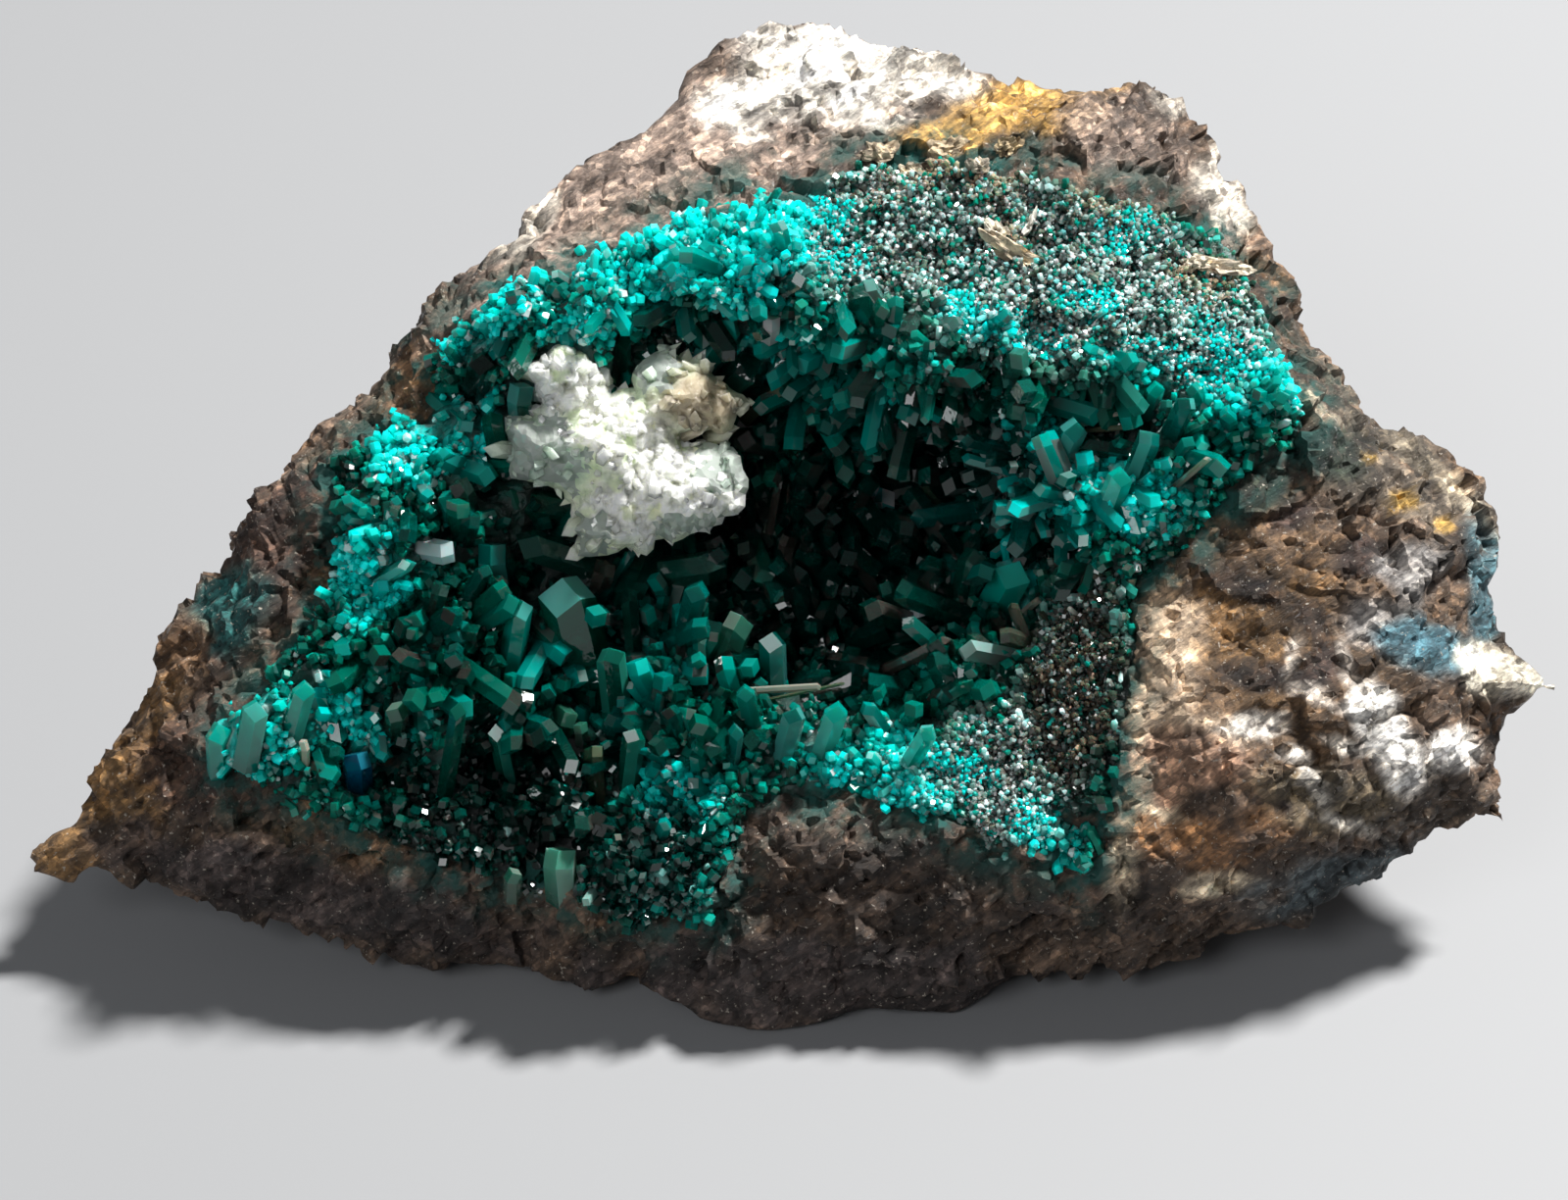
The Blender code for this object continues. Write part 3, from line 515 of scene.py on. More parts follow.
# Colours of the crystals
BLACK_GREEN = np.array((0.002, 0.010, 0.009))
DEEP_GREEN = np.array((0.0, 0.024, 0.019))
EMERALD = np.array((0.0, 0.17, 0.115))
GLOW_TURQUOISE = np.array((0.0, 0.88, 0.80))
GLINT_WHITE = np.array((0.62, 0.86, 0.82))
PALE_CYAN = np.array((0.20, 0.60, 0.58))
GREY_SALT = np.array((0.32, 0.38, 0.36))
OLIVE_SALT = np.array((0.21, 0.22, 0.17))
TAN_SALT = np.array((0.34, 0.26, 0.17))
GREY_REFLECTION = np.array((0.060, 0.058, 0.050))


def mix_to(colour, other, share):
    """Moves each row of colour towards another colour by its own share."""
    return colour + (other - colour) * share[:, None]


def crust_colours(fields, luck, more_luck, glint_share=GLINT_SHARE_SMALL):
    """The colour of each crystal from its place and two random numbers."""
    # Painted glow: crystals turn turquoise where light would shine through them
    glow = np.clip(fields["painted_glow"] * (0.6 + 1.0 * luck) + 0.25 * luck**3, 0, 1)
    colour = mix_to(np.tile(EMERALD, (len(luck), 1)), GLOW_TURQUOISE, glow)
    colour = mix_to(colour, DEEP_GREEN, (1 - fields["painted_glow"]) * 0.75 * (more_luck < 0.45))
    # Painted shade: crystals deep in the hollow and in pits turn dark green
    colour = mix_to(colour, DEEP_GREEN, fields["deep"] * (0.96 - 0.5 * (more_luck > 0.93)))
    # A few crystals are painted near white as glints
    glinting = more_luck > 1 - glint_share * (1 + fields["painted_glow"])
    colour = mix_to(colour, GLINT_WHITE, glinting * (1 - 0.7 * fields["deep"]) * 0.9)
    salty = fields["salt"] * (more_luck < 0.84 - 0.55 * fields["painted_glow"])
    grey = mix_to(np.tile(GREY_SALT, (len(luck), 1)), OLIVE_SALT, step(0.3, 0.7, more_luck))
    salt_colour = np.where((luck < 0.27)[:, None], BLACK_GREEN, grey * (0.15 + 1.1 * luck)[:, None])
    salt_colour = np.where((luck > 0.74)[:, None], PALE_CYAN, salt_colour)
    # The whitest salt grains are painted glints
    salt_colour = np.where((luck > 0.81)[:, None], GLINT_WHITE, salt_colour)
    salt_colour = mix_to(salt_colour, TAN_SALT * (0.3 + luck)[:, None], fields["tan"] * (more_luck > 0.25))
    colour = mix_to(colour, salt_colour, salty)
    colour *= (1 - 0.75 * fields["dim"] * (luck < 0.95))[:, None]
    return np.clip(colour, 0.0, PALEST)


def crust_bed(lump):
    """The green skin that the crystals stand on, inside the crust's outline, and the lump's normals there."""
    bm = bmesh.new()
    bm.from_mesh(lump.data)
    bm.normal_update()
    points = np.array([v.co for v in bm.verts])
    outward = np.array([v.normal for v in bm.verts])
    across, up = seen(points)
    facing = np.sum(outward * to_eye(points), axis=1)
    wanted = (outline_depth(CRUST_OUTLINE, across, up) > -1.0) & (facing > 0.0)
    away = [f for f in bm.faces if not all(wanted[v.index] for v in f.verts)]
    bmesh.ops.delete(bm, geom=away, context="FACES")
    bm.verts.index_update()
    grained = in_patches(SALT_ZONES, *seen(np.array([v.co for v in bm.verts])), 0.0)
    finer = [e for e in bm.edges if grained[e.verts[0].index] > 0 and grained[e.verts[1].index] > 0]
    bmesh.ops.subdivide_edges(bm, edges=finer, cuts=1, use_grid_fill=True)
    mesh = bpy.data.meshes.new("crust_bed")
    bm.to_mesh(mesh)
    bm.free()
    points, outward = rows(mesh.vertices, "co"), rows(mesh.vertex_normals, "vector")
    across, up = seen(points)
    inward = outline_depth(CRUST_OUTLINE, across, up) + rough_noise(points, 2.5 * MM, 3, 66) * 0.8
    fields = crust_fields(points, across, up)
    lumps = rough_noise(points, 3.4 * MM, 2, 71)
    coarse, _ = shards(points, 1.6 * MM, 91)
    fine, edge = shards(points, 0.7 * MM, 95)
    relief = 1.1 * lumps * (1 - 0.7 * fields["salt"]) + 0.42 * coarse + 0.22 * fine
    relief -= 0.12 * (1 - step(0.0, 0.2, edge))
    wide = points * np.array((0.45, 1.0, 1.0))
    pits = fields["salt"] * step(0.15, 0.6, rough_noise(wide, 0.9 * MM, 2, 14)) * 0.9 + 1.3 * fields["holes"]
    relief += fields["salt"] * 0.35 * rough_noise(wide, 1.5 * MM, 2, 15)
    lift = BED_SUNK + (BED_LIFT - BED_SUNK) * step(-0.9, 0.9, inward)
    shape = points + outward * ((lift + (relief - pits) * step(-0.5, 0.8, inward)) * MM)[:, None]
    set_coords(mesh, shape)
    cells = np.floor(points / BED_GRAIN).astype(np.int64)
    tone = crust_colours(fields, scatter_bits(cells, 3), scatter_bits(cells, 4))
    # Painted shade: the bed takes the crystals' colours darkened, less in glowing and salt zones
    paint(mesh, "tone", tone * (0.22 + 0.40 * fields["painted_glow"] + 0.4 * fields["salt"])[:, None])
    grade(mesh, "salt", fields["salt"])
    return new_object("crust_bed", mesh), outward


def off_tall_crystals(across, up):
    """1 where there is room for small crystals, near 0 under the calcite and where a tall crystal stands."""
    room = np.where(outline_depth(CALCITE_OUTLINE, across, up) > -0.4, NO_ROOM, 1.0)
    for ax, ay, bx, by, _, width, _, _ in TALL_CRYSTALS:
        dx, dy = bx - ax, by - ay
        along = np.clip(((across - ax) * dx + (up - ay) * dy) / (dx * dx + dy * dy), 0, 1)
        room[np.hypot(across - ax - along * dx, up - ay - along * dy) < 0.5 * width + 0.1] = NO_ROOM
    return room


def sampled(weights, count, rng):
    """Random places on triangles, chosen by weight: triangle numbers and barycentric shares."""
    chosen = rng.choice(len(weights), size=count, p=weights / weights.sum())
    a, b = rng.random(count), rng.random(count)
    over = a + b > 1
    a[over], b[over] = 1 - a[over], 1 - b[over]
    return chosen, np.stack([1 - a - b, a, b], axis=1)


def crystal_mesh(
    name, feet, axes, spins, widths, flats, lengths, colours, reflection_shares, reflection_colours, closed, steep=0.27,
):
    """Six-sided prisms with three rhombs at the tip, with painted root shade and tip light, as one mesh.

    Arrays give one crystal each; a share for each of its nine faces says how much it is painted as a
    reflection.
    """
    count = len(feet)
    helper = np.where(np.abs(axes[:, 2:3]) < 0.9, np.array((0.0, 0.0, 1.0)), np.array((1.0, 0.0, 0.0)))
    side = np.cross(axes, helper)
    side /= np.linalg.norm(side, axis=1, keepdims=True)
    other = np.cross(axes, side)
    c, s = np.cos(spins)[:, None], np.sin(spins)[:, None]
    side, other = side * c + other * s, other * c - side * s
    angles = np.arange(6) * math.pi / 3
    ring = (
        side[:, None, :] * np.cos(angles)[None, :, None]
        + other[:, None, :] * (np.sin(angles)[None, :, None] * flats[:, None, None])
    ) * (widths / 2)[:, None, None]
    slope = steep * widths
    bottom = feet[:, None, :] + ring - (axes * (widths * 0.5)[:, None])[:, None, :]
    drop = lengths[:, None] - slope[:, None] * (1 + np.arange(6) % 2)[None, :]
    top = feet[:, None, :] + ring * 0.97 + axes[:, None, :] * drop[:, :, None]
    apex = (feet + axes * lengths[:, None])[:, None, :]
    points = np.concatenate([bottom, top, apex], axis=1).reshape(-1, 3)
    loops, sizes, of_face, light = [], [], [], []
    # Painted shade darkens each side face towards the root, and painted light brightens the tip
    for k in range(6):
        loops += [k, (k + 1) % 6, 6 + (k + 1) % 6, 6 + k]
        sizes.append(4)
        of_face += [k] * 4
        light += [PAINTED_ROOT_SHADE, PAINTED_ROOT_SHADE, 1.0, 1.0]
    for k in (0, 2, 4):
        loops += [12, 6 + k, 7 + k, 6 + (k + 2) % 6]
        sizes.append(4)
        of_face += [6 + k // 2] * 4
        light += [PAINTED_TIP_LIGHT, 1.0, 1.0, 1.0]
    if closed:
        loops += [5, 4, 3, 2, 1, 0]
        sizes.append(6)
        of_face += [0] * 6
        light += [PAINTED_ROOT_SHADE] * 6
    all_loops = (np.array(loops)[None, :] + np.arange(count)[:, None] * POINTS_EACH).ravel()
    all_sizes = np.tile(np.array(sizes), count)
    starts = np.concatenate([[0], np.cumsum(all_sizes)[:-1]])
    mesh = bpy.data.meshes.new(name)
    mesh.vertices.add(len(points))
    mesh.loops.add(len(all_loops))
    mesh.polygons.add(len(all_sizes))
    mesh.vertices.foreach_set("co", points.astype(np.float32).ravel())
    mesh.loops.foreach_set("vertex_index", all_loops.astype(np.int32))
    mesh.polygons.foreach_set("loop_start", starts.astype(np.int32))
    mesh.update(calc_edges=True)
    mesh.shade_flat()
    share = reflection_shares[:, of_face][:, :, None]
    tone = colours[:, None, :] * np.array(light)[None, :, None] * (1 - share)
    tone += reflection_colours[:, None, :] * share
    full = np.ones((count * len(loops), 4), np.float32)
    full[:, :3] = np.clip(tone.reshape(-1, 3), 0, PALEST)
    layer = mesh.attributes.new("tone", "FLOAT_COLOR", "CORNER")
    layer.data.foreach_set("color", full.ravel())
    return new_object(name, mesh)


def grown_crystals(name, bed, base_normals, count, seed, size, slender, weigh, spread, grey, closed):
    """Crystals that grow from the bed. Functions of the crust's fields give them their looks.

    weigh gives how dense they stand, size their width, slender their length for that width, spread how much
    they lean, and grey how many of their faces are painted grey or pale as reflections.
    """
    mesh = bed.data
    mesh.calc_loop_triangles()
    faces = np.empty(len(mesh.loop_triangles) * 3, np.int32)
    mesh.loop_triangles.foreach_get("vertices", faces)
    faces = faces.reshape(-1, 3)
    shape = rows(mesh.vertices, "co")
    middles = shape[faces].mean(axis=1)
    across, up = seen(middles)
    inward = outline_depth(CRUST_OUTLINE, across, up)
    edges = shape[faces[:, 1]] - shape[faces[:, 0]], shape[faces[:, 2]] - shape[faces[:, 0]]
    area = np.linalg.norm(np.cross(*edges), axis=1)
    fields = crust_fields(middles, across, up)
    fields["inner"] = step(0.2, 3.5, inward)
    weights = area * weigh(fields) * step(-0.5, 1.0, inward) * off_tall_crystals(across, up)
    rng = np.random.default_rng(seed)
    chosen, shares = sampled(weights, count, rng)
    corners = faces[chosen]
    feet = np.sum(shape[corners] * shares[:, :, None], axis=1)
    outward = base_normals[corners].mean(axis=1)
    picked = {key: value[chosen] for key, value in fields.items()}
    axes = outward + np.array(OUT) * 0.25 + rng.normal(0, 1, (count, 3)) * spread(picked)[:, None]
    axes /= np.linalg.norm(axes, axis=1, keepdims=True)
    widths = size(picked, rng.random(count))
    lengths = widths * slender(picked, rng.random(count))
    glint_share = GLINT_SHARE_LARGE if closed else GLINT_SHARE_SMALL
    colours = crust_colours(picked, rng.random(count), rng.random(count), glint_share)
    flats = rng.uniform(0.7, 1.0, count)
    spins = rng.uniform(0, 2 * math.pi, count)
    # Random faces are painted grey, or pale where the crust glows, as painted reflections
    reflection_shares = (rng.random((count, 9)) < grey(picked)[:, None]) * rng.uniform(0.4, 1.0, (count, 9))
    reflection_colours = mix_to(np.tile(GREY_REFLECTION, (count, 1)), GLINT_WHITE * 0.7, picked["painted_glow"])
    reflection_colours *= rng.uniform(0.5, 1.6, (count, 1))
    return crystal_mesh(name, feet, axes, spins, widths, flats, lengths, colours, reflection_shares, reflection_colours, closed)


# Materials

DIOPTASE_IOR = 1.65
CALCITE_IOR = 1.6
ABSORPTION = (0.2, 0.85, 0.75, 1)
ABSORPTION_DENSITY = 250


def material(name):
    made = bpy.data.materials.new(name)
    made.use_nodes = True
    return made, made.node_tree, made.node_tree.nodes["Principled BSDF"]


def set_inputs(made, values):
    """Sets plain values on a node's own sockets."""
    for name, value in values.items():
        made.inputs[name].default_value = value


def join(tree, source, target):
    tree.links.new(source, target)


def attribute(tree, name, output="Color"):
    made = tree.nodes.new("ShaderNodeAttribute")
    made.attribute_name = name
    return made.outputs[output]


def noise(tree, scale, detail, roughness, place=None):
    """A noise over the object's own coordinates, or over another place."""
    made = tree.nodes.new("ShaderNodeTexNoise")
    set_inputs(made, {"Scale": scale, "Detail": detail, "Roughness": roughness})
    join(tree, place or tree.nodes.new("ShaderNodeTexCoord").outputs["Object"], made.inputs["Vector"])
    return made.outputs["Fac"]


def grains(tree, scale):
    """Small cells with a random red, green and blue value each."""
    made = tree.nodes.new("ShaderNodeTexVoronoi")
    set_inputs(made, {"Scale": scale})
    join(tree, tree.nodes.new("ShaderNodeTexCoord").outputs["Object"], made.inputs["Vector"])
    parts = tree.nodes.new("ShaderNodeSeparateColor")
    join(tree, made.outputs["Color"], parts.inputs["Color"])
    return parts


def ramp(tree, source, stops):
    """A ramp whose stops are a place and either a grey or a colour."""
    made = tree.nodes.new("ShaderNodeValToRGB")
    while len(made.color_ramp.elements) < len(stops):
        made.color_ramp.elements.new(0.5)
    for element, (where, colour) in zip(made.color_ramp.elements, stops):
        element.position = where
        element.color = (*colour, 1) if isinstance(colour, tuple) else (colour, colour, colour, 1)
    join(tree, source, made.inputs["Fac"])
    return made.outputs["Color"]


def mixed(tree, blend, share, first, second):
    made = tree.nodes.new("ShaderNodeMix")
    made.data_type = "RGBA"
    made.blend_type = blend
    for name, value in {"Factor": share, "A": first, "B": second}.items():
        if isinstance(value, float):
            made.inputs[name].default_value = value
        elif isinstance(value, tuple):
            made.inputs[name].default_value = (*value, 1)
        else:
            join(tree, value, made.inputs[name])
    return made.outputs["Result"]


def shaded(tree, share, colour, source, stops):
    """A colour times the shades of a ramp."""
    return mixed(tree, "MULTIPLY", share, colour, ramp(tree, source, stops))


def bumpy(tree, shader, height, strength, distance):
    made = tree.nodes.new("ShaderNodeBump")
    set_inputs(made, {"Strength": strength, "Distance": distance})
    join(tree, height, made.inputs["Height"])
    join(tree, made.outputs["Normal"], shader.inputs["Normal"])


def rock_material():
    made, tree, shader = material("host_rock")
    parts = grains(tree, 2300)
    streaks = noise(tree, 2.4, 6, 0.72, attribute(tree, "layers", "Vector"))
    shades = [(0.30, (0.30, 0.28, 0.27)), (0.5, 1), (0.72, (2.3, 2.2, 2.1))]
    colour = shaded(tree, 0.85, attribute(tree, "tone"), noise(tree, 420, 8, 0.72), shades)
    crystals = [
        (0.0, (0.45, 0.43, 0.42)), (0.3, (0.85, 0.84, 0.83)),
        (0.8, (1.1, 1.09, 1.07)), (0.96, (2.0, 1.95, 1.85)),
    ]
    colour = shaded(tree, 0.9, colour, parts.outputs["Red"], crystals)
    bands = [(0.36, (0.40, 0.38, 0.37)), (0.5, 1), (0.64, (2.0, 1.95, 1.9))]
    colour = shaded(tree, 0.85, colour, streaks, bands)
    flecks = ramp(tree, noise(tree, 3600, 3, 0.6), [(0.64, 0), (0.70, 1)])
    colour = mixed(tree, "MIX", flecks, colour, (0.42, 0.37, 0.31))
    green = tree.nodes.new("ShaderNodeMath")
    green.operation = "MULTIPLY"
    join(tree, attribute(tree, "stain", "Fac"), green.inputs[0])
    join(tree, ramp(tree, noise(tree, 500, 5, 0.6), [(0.42, 0), (0.56, 1)]), green.inputs[1])
    colour = mixed(tree, "MIX", green.outputs["Value"], colour, (0.004, 0.07, 0.06))
    join(tree, colour, shader.inputs["Base Color"])
    shine = ramp(tree, parts.outputs["Blue"], [(0.80, 0.75), (0.9, 0.22)])
    join(tree, shine, shader.inputs["Roughness"])
    height = mixed(tree, "MIX", 0.35, noise(tree, 1500, 8, 0.75), parts.outputs["Red"])
    height = mixed(tree, "MIX", 0.5, height, streaks)
    bumpy(tree, shader, height, 1.0, 0.55 * MM)
    return made


def bed_material():
    made, tree, shader = material("dioptase_bed")
    grain = noise(tree, 1800, 5, 0.7)
    colour = shaded(tree, 0.9, attribute(tree, "tone"), grain, [(0.3, 0.3), (0.7, 1.6)])
    join(tree, colour, shader.inputs["Base Color"])
    set_inputs(shader, {"Roughness": 0.28, "IOR": DIOPTASE_IOR})
    bumpy(tree, shader, noise(tree, 2400, 6, 0.75), 0.8, 0.25 * MM)
    return made


def druse_material():
    made, tree, shader = material("dioptase_druse")
    join(tree, attribute(tree, "tone"), shader.inputs["Base Color"])
    set_inputs(shader, {
        "Roughness": 0.14,
        "IOR": DIOPTASE_IOR,
        "Specular IOR Level": 0.5,
        "Subsurface Weight": 0.55,
        "Subsurface Radius": (0.2, 1.0, 0.85),
        "Subsurface Scale": 0.9 * MM,
    })
    return made


def gem_material():
    made, tree, shader = material("dioptase_gem")
    join(tree, attribute(tree, "tone"), shader.inputs["Base Color"])
    set_inputs(shader, {
        "Roughness": 0.05,
        "IOR": DIOPTASE_IOR,
        "Specular IOR Level": 0.3,
        "Transmission Weight": 0.55,
        "Subsurface Weight": 0.4,
        "Subsurface Radius": (0.15, 1.0, 0.75),
        "Subsurface Scale": 1.2 * MM,
    })
    bumpy(tree, shader, noise(tree, 900, 3, 0.5), 0.25, 0.12 * MM)
    absorption = tree.nodes.new("ShaderNodeVolumeAbsorption")
    set_inputs(absorption, {"Color": ABSORPTION, "Density": ABSORPTION_DENSITY})
    join(tree, absorption.outputs["Volume"], tree.nodes["Material Output"].inputs["Volume"])
    return made


def calcite_material():
    made, tree, shader = material("calcite")
    grain = noise(tree, 1400, 5, 0.7)
    shades = [(0.3, (0.78, 0.82, 0.76)), (0.55, (1.2, 1.2, 1.12))]
    join(tree, shaded(tree, 0.8, attribute(tree, "tone"), grain, shades), shader.inputs["Base Color"])
    set_inputs(shader, {
        "Roughness": 0.16,
        "IOR": CALCITE_IOR,
        "Transmission Weight": 0.08,
        "Subsurface Weight": 0.7,
        "Subsurface Radius": (1.0, 1.0, 0.85),
        "Subsurface Scale": 1.5 * MM,
    })
    bumpy(tree, shader, noise(tree, 1900, 6, 0.7), 0.7, 0.3 * MM)
    return made


def clear_calcite_material():
    made, tree, shader = material("calcite_clear")
    set_inputs(shader, {
        "Base Color": (0.82, 0.93, 0.84, 1),
        "Roughness": 0.07,
        "IOR": CALCITE_IOR,
        "Transmission Weight": 0.6,
        "Subsurface Weight": 0.5,
        "Subsurface Radius": (0.9, 1.0, 0.9),
        "Subsurface Scale": 1.5 * MM,
    })
    bumpy(tree, shader, noise(tree, 500, 3, 0.6), 0.5, 0.2 * MM)
    return made


# Large crystals

# (across, up) of the foot and of the tip, how far the tip rises out, width, flatness and look
TALL_CRYSTALS = [
    (-2.7, 10.1, 0.6, 13.1, 3.6, 1.6, 0.8, "olive"),
    (1.5, 9.9, 1.2, 10.9, 2.4, 1.6, 0.9, "brown"),
    (2.7, 10.8, 2.2, 12.3, 1.8, 0.7, 0.7, "brown"),
    (7.2, 10.4, 8.6, 11.8, 2.6, 1.1, 0.5, "olive"),
    (9.5, 7.3, 10.4, 8.7, 1.6, 0.7, 0.6, "brown"),
    (5.4, 8.2, 6.6, 10.5, 2.0, 1.7, 0.8, "deep"),
    (6.6, 6.9, 6.0, 8.8, 2.6, 0.5, 0.5, "cream"),
    (4.9, 5.5, 4.6, 7.2, 2.0, 0.6, 0.5, "brown"),
    (6.1, 2.6, 5.8, 6.6, 3.6, 1.9, 0.7, "frost"),
    (11.0, 3.2, 8.1, 6.7, 2.8, 1.0, 0.6, "olive"),
    (11.8, 2.7, 14.5, 6.1, 2.6, 1.2, 0.7, "olive"),
    (12.6, 0.0, 13.9, 2.3, 2.0, 2.7, 0.9, "aqua"),
    (-1.2, 2.1, -0.3, 7.2, 2.0, 0.55, 0.5, "brown"),
    (0.1, 3.9, 0.3, 6.9, 2.0, 0.32, 0.6, "brown"),
    (0.0, 2.3, 0.3, 3.7, 2.0, 1.2, 0.9, "brown"),
    (4.0, 1.2, 3.5, 3.6, 2.0, 0.8, 0.5, "brown"),
    (-0.9, -0.3, 0.8, 1.5, 2.0, 0.9, 0.6, "black"),
    (5.3, -2.3, 9.0, -0.3, 3.4, 1.9, 0.7, "frost"),
    (3.2, -5.4, 9.9, -2.3, 3.0, 1.3, 0.5, "brown"),
    (-2.9, -5.4, 2.2, -5.1, 2.0, 0.45, 0.6, "cream"),
    (-1.0, -5.9, 3.6, -4.9, 2.4, 0.5, 0.5, "olive"),
    (12.7, -1.9, 12.7, -0.9, 1.6, 1.2, 0.8, "brown"),
    (14.2, -0.7, 15.0, 0.0, 1.8, 0.8, 0.6, "cream"),
    (-0.6, -5.1, -0.7, -1.9, 1.6, 1.8, 0.9, "teal"),
    (-3.8, -4.5, -2.5, -0.9, 2.6, 2.1, 0.8, "grey_green"),
    (-11.6, -4.5, -13.1, 1.3, 3.4, 3.4, 0.9, "hero"),
    (-8.8, 1.3, -3.4, 2.0, 3.2, 2.5, 0.8, "deep"),
    (-10.9, 0.8, -10.5, 2.1, 2.6, 1.5, 0.8, "brown"),
    (-12.7, 5.2, -17.0, 6.0, 2.4, 2.1, 0.8, "emerald"),
    (-12.4, 2.4, -15.7, 3.5, 2.6, 2.4, 0.8, "deep"),
    (-17.0, 1.2, -17.3, 3.2, 2.4, 2.1, 0.9, "teal"),
    (-15.4, 10.8, -15.6, 12.5, 2.8, 1.9, 0.9, "teal"),
    (-16.6, 7.6, -17.3, 11.1, 1.4, 1.6, 0.8, "emerald"),
    (-1.4, 4.7, -1.5, 7.4, 2.0, 1.2, 0.8, "emerald"),
    (-9.7, 12.4, -9.6, 15.7, 1.6, 1.5, 0.8, "emerald"),
    (-4.4, 14.5, -3.0, 16.5, 2.4, 2.0, 0.9, "aqua"),
    (-3.4, 12.5, -1.3, 14.1, 2.6, 2.6, 0.9, "deep"),
    (-0.9, 15.3, -0.7, 16.5, 2.8, 1.3, 0.9, "white"),
    (-8.1, 3.0, -9.2, 0.1, 2.2, 2.2, 0.8, "deep"),
    (-8.7, -4.5, -9.2, 0.7, 2.0, 1.6, 0.7, "deep"),
    (-9.8, -6.8, -10.3, -2.8, 2.4, 1.8, 0.7, "emerald"),
    (-16.2, -4.5, -15.5, 0.0, 2.4, 1.9, 0.8, "aqua"),
    (-22.9, -7.5, -22.8, -6.4, 2.6, 1.5, 0.9, "grey_green"),
    (-13.0, -7.9, -12.9, -6.6, 2.6, 1.7, 0.9, "grey_green"),
    (-11.9, -8.6, -12.0, -7.4, 2.6, 1.0, 0.9, "grey_green"),
    (-16.0, -17.3, -16.0, -16.1, 2.4, 1.2, 0.9, "grey_green"),
    (-13.1, -16.9, -13.3, -14.8, 2.8, 2.1, 0.9, "mint"),
    (-19.9, -11.0, -19.1, -6.0, 2.6, 1.6, 0.7, "emerald"),
    (-16.2, -10.9, -17.0, -7.3, 2.4, 1.5, 0.8, "emerald"),
    (-25.1, -10.9, -25.2, -9.1, 2.0, 1.8, 0.9, "blue"),
    (-11.0, -12.0, -11.3, -8.6, 2.2, 1.4, 0.7, "olive"),
    (-9.2, -10.9, -8.8, -7.6, 2.2, 1.4, 0.8, "emerald"),
    (-28.3, -9.6, -28.3, -8.4, 2.0, 1.0, 0.6, "cream"),
    (-33.2, -10.3, -33.4, -7.3, 2.2, 1.9, 0.8, "aqua"),
    (-31.7, -9.1, -31.1, -6.0, 2.2, 1.8, 0.8, "aqua"),
    (-28.9, -7.4, -28.2, -4.9, 2.0, 1.6, 0.8, "aqua"),
    (0.0, -9.1, 0.7, -6.4, 2.2, 1.5, 0.8, "teal"),
    (2.4, -8.6, 3.2, -6.2, 2.4, 1.7, 0.8, "aqua"),
    (-3.1, -9.5, -2.8, -7.5, 2.0, 1.2, 0.8, "teal"),
    (7.5, -9.5, 8.7, -7.5, 2.0, 1.4, 0.8, "aqua"),
    (-21.3, 3.0, -19.5, 2.7, 2.0, 1.5, 0.8, "frost"),
    (-23.6, 1.3, -22.0, 2.2, 2.0, 1.2, 0.7, "aqua"),
    (-20.8, 12.0, -18.4, 9.9, 1.6, 1.3, 0.8, "aqua"),
    (-21.9, 11.6, -20.4, 9.8, 1.4, 1.1, 0.7, "aqua"),
    (-18.2, 12.5, -17.8, 14.5, 2.4, 1.9, 0.9, "black"),
    (-18.7, 5.3, -19.1, 6.9, 2.2, 1.6, 0.9, "black"),
    (17.0, 10.4, 20.3, 11.1, 1.4, 0.45, 0.5, "cream"),
    (17.1, 9.9, 20.2, 10.2, 1.2, 0.35, 0.5, "olive"),
    (23.1, 6.7, 25.1, 8.4, 2.2, 0.55, 0.5, "cream"),
    (19.1, 5.3, 20.0, 7.7, 2.0, 1.6, 0.8, "aqua"),
    (16.2, 8.2, 17.3, 10.5, 2.2, 1.8, 0.9, "teal"),
    (20.8, 7.6, 21.7, 9.9, 2.2, 1.5, 0.8, "teal"),
    (21.5, 11.1, 22.0, 12.7, 2.0, 1.3, 0.8, "aqua"),
    (22.9, 9.9, 23.9, 11.9, 2.0, 1.3, 0.8, "teal"),
]

# How much further a tip rises for the part of the crystal in the crust, in mm
BURIED = 0.6
# Each look: the prism's colour, its faces' painted reflection colour and how many faces are painted so
LOOKS = {
    "black": ((0.003, 0.020, 0.015), (0.028, 0.050, 0.038), 0.45),
    "deep": ((0.0, 0.040, 0.030), (0.01, 0.10, 0.075), 0.4),
    "emerald": ((0.0, 0.13, 0.09), (0.03, 0.34, 0.26), 0.3),
    "teal": ((0.0, 0.20, 0.17), (0.10, 0.50, 0.46), 0.4),
    "aqua": ((0.0, 0.52, 0.42), (0.16, 0.78, 0.70), 0.3),
    "mint": ((0.12, 0.46, 0.33), (0.50, 0.84, 0.70), 0.4),
    "blue": ((0.0, 0.10, 0.20), (0.02, 0.25, 0.36), 0.4),
    "grey_green": ((0.03, 0.16, 0.11), (0.22, 0.33, 0.27), 0.5),
    "hero": ((0.0, 0.15, 0.10), (0.20, 0.74, 0.66), 0.0),
    "olive": ((0.025, 0.055, 0.030), (0.14, 0.16, 0.10), 0.6),
    "brown": ((0.028, 0.026, 0.021), (0.100, 0.088, 0.074), 0.6),
    # Cream prisms stand for painted reflections on dark crystals
    "cream": ((0.30, 0.27, 0.20), (0.62, 0.58, 0.48), 0.6),
    # The frost prism's pale faces and the white prism are painted glints
    "frost": ((0.06, 0.42, 0.42), (0.78, 0.93, 0.95), 0.7),
    "white": ((0.60, 0.80, 0.78), (0.92, 0.94, 0.94), 0.7),
}


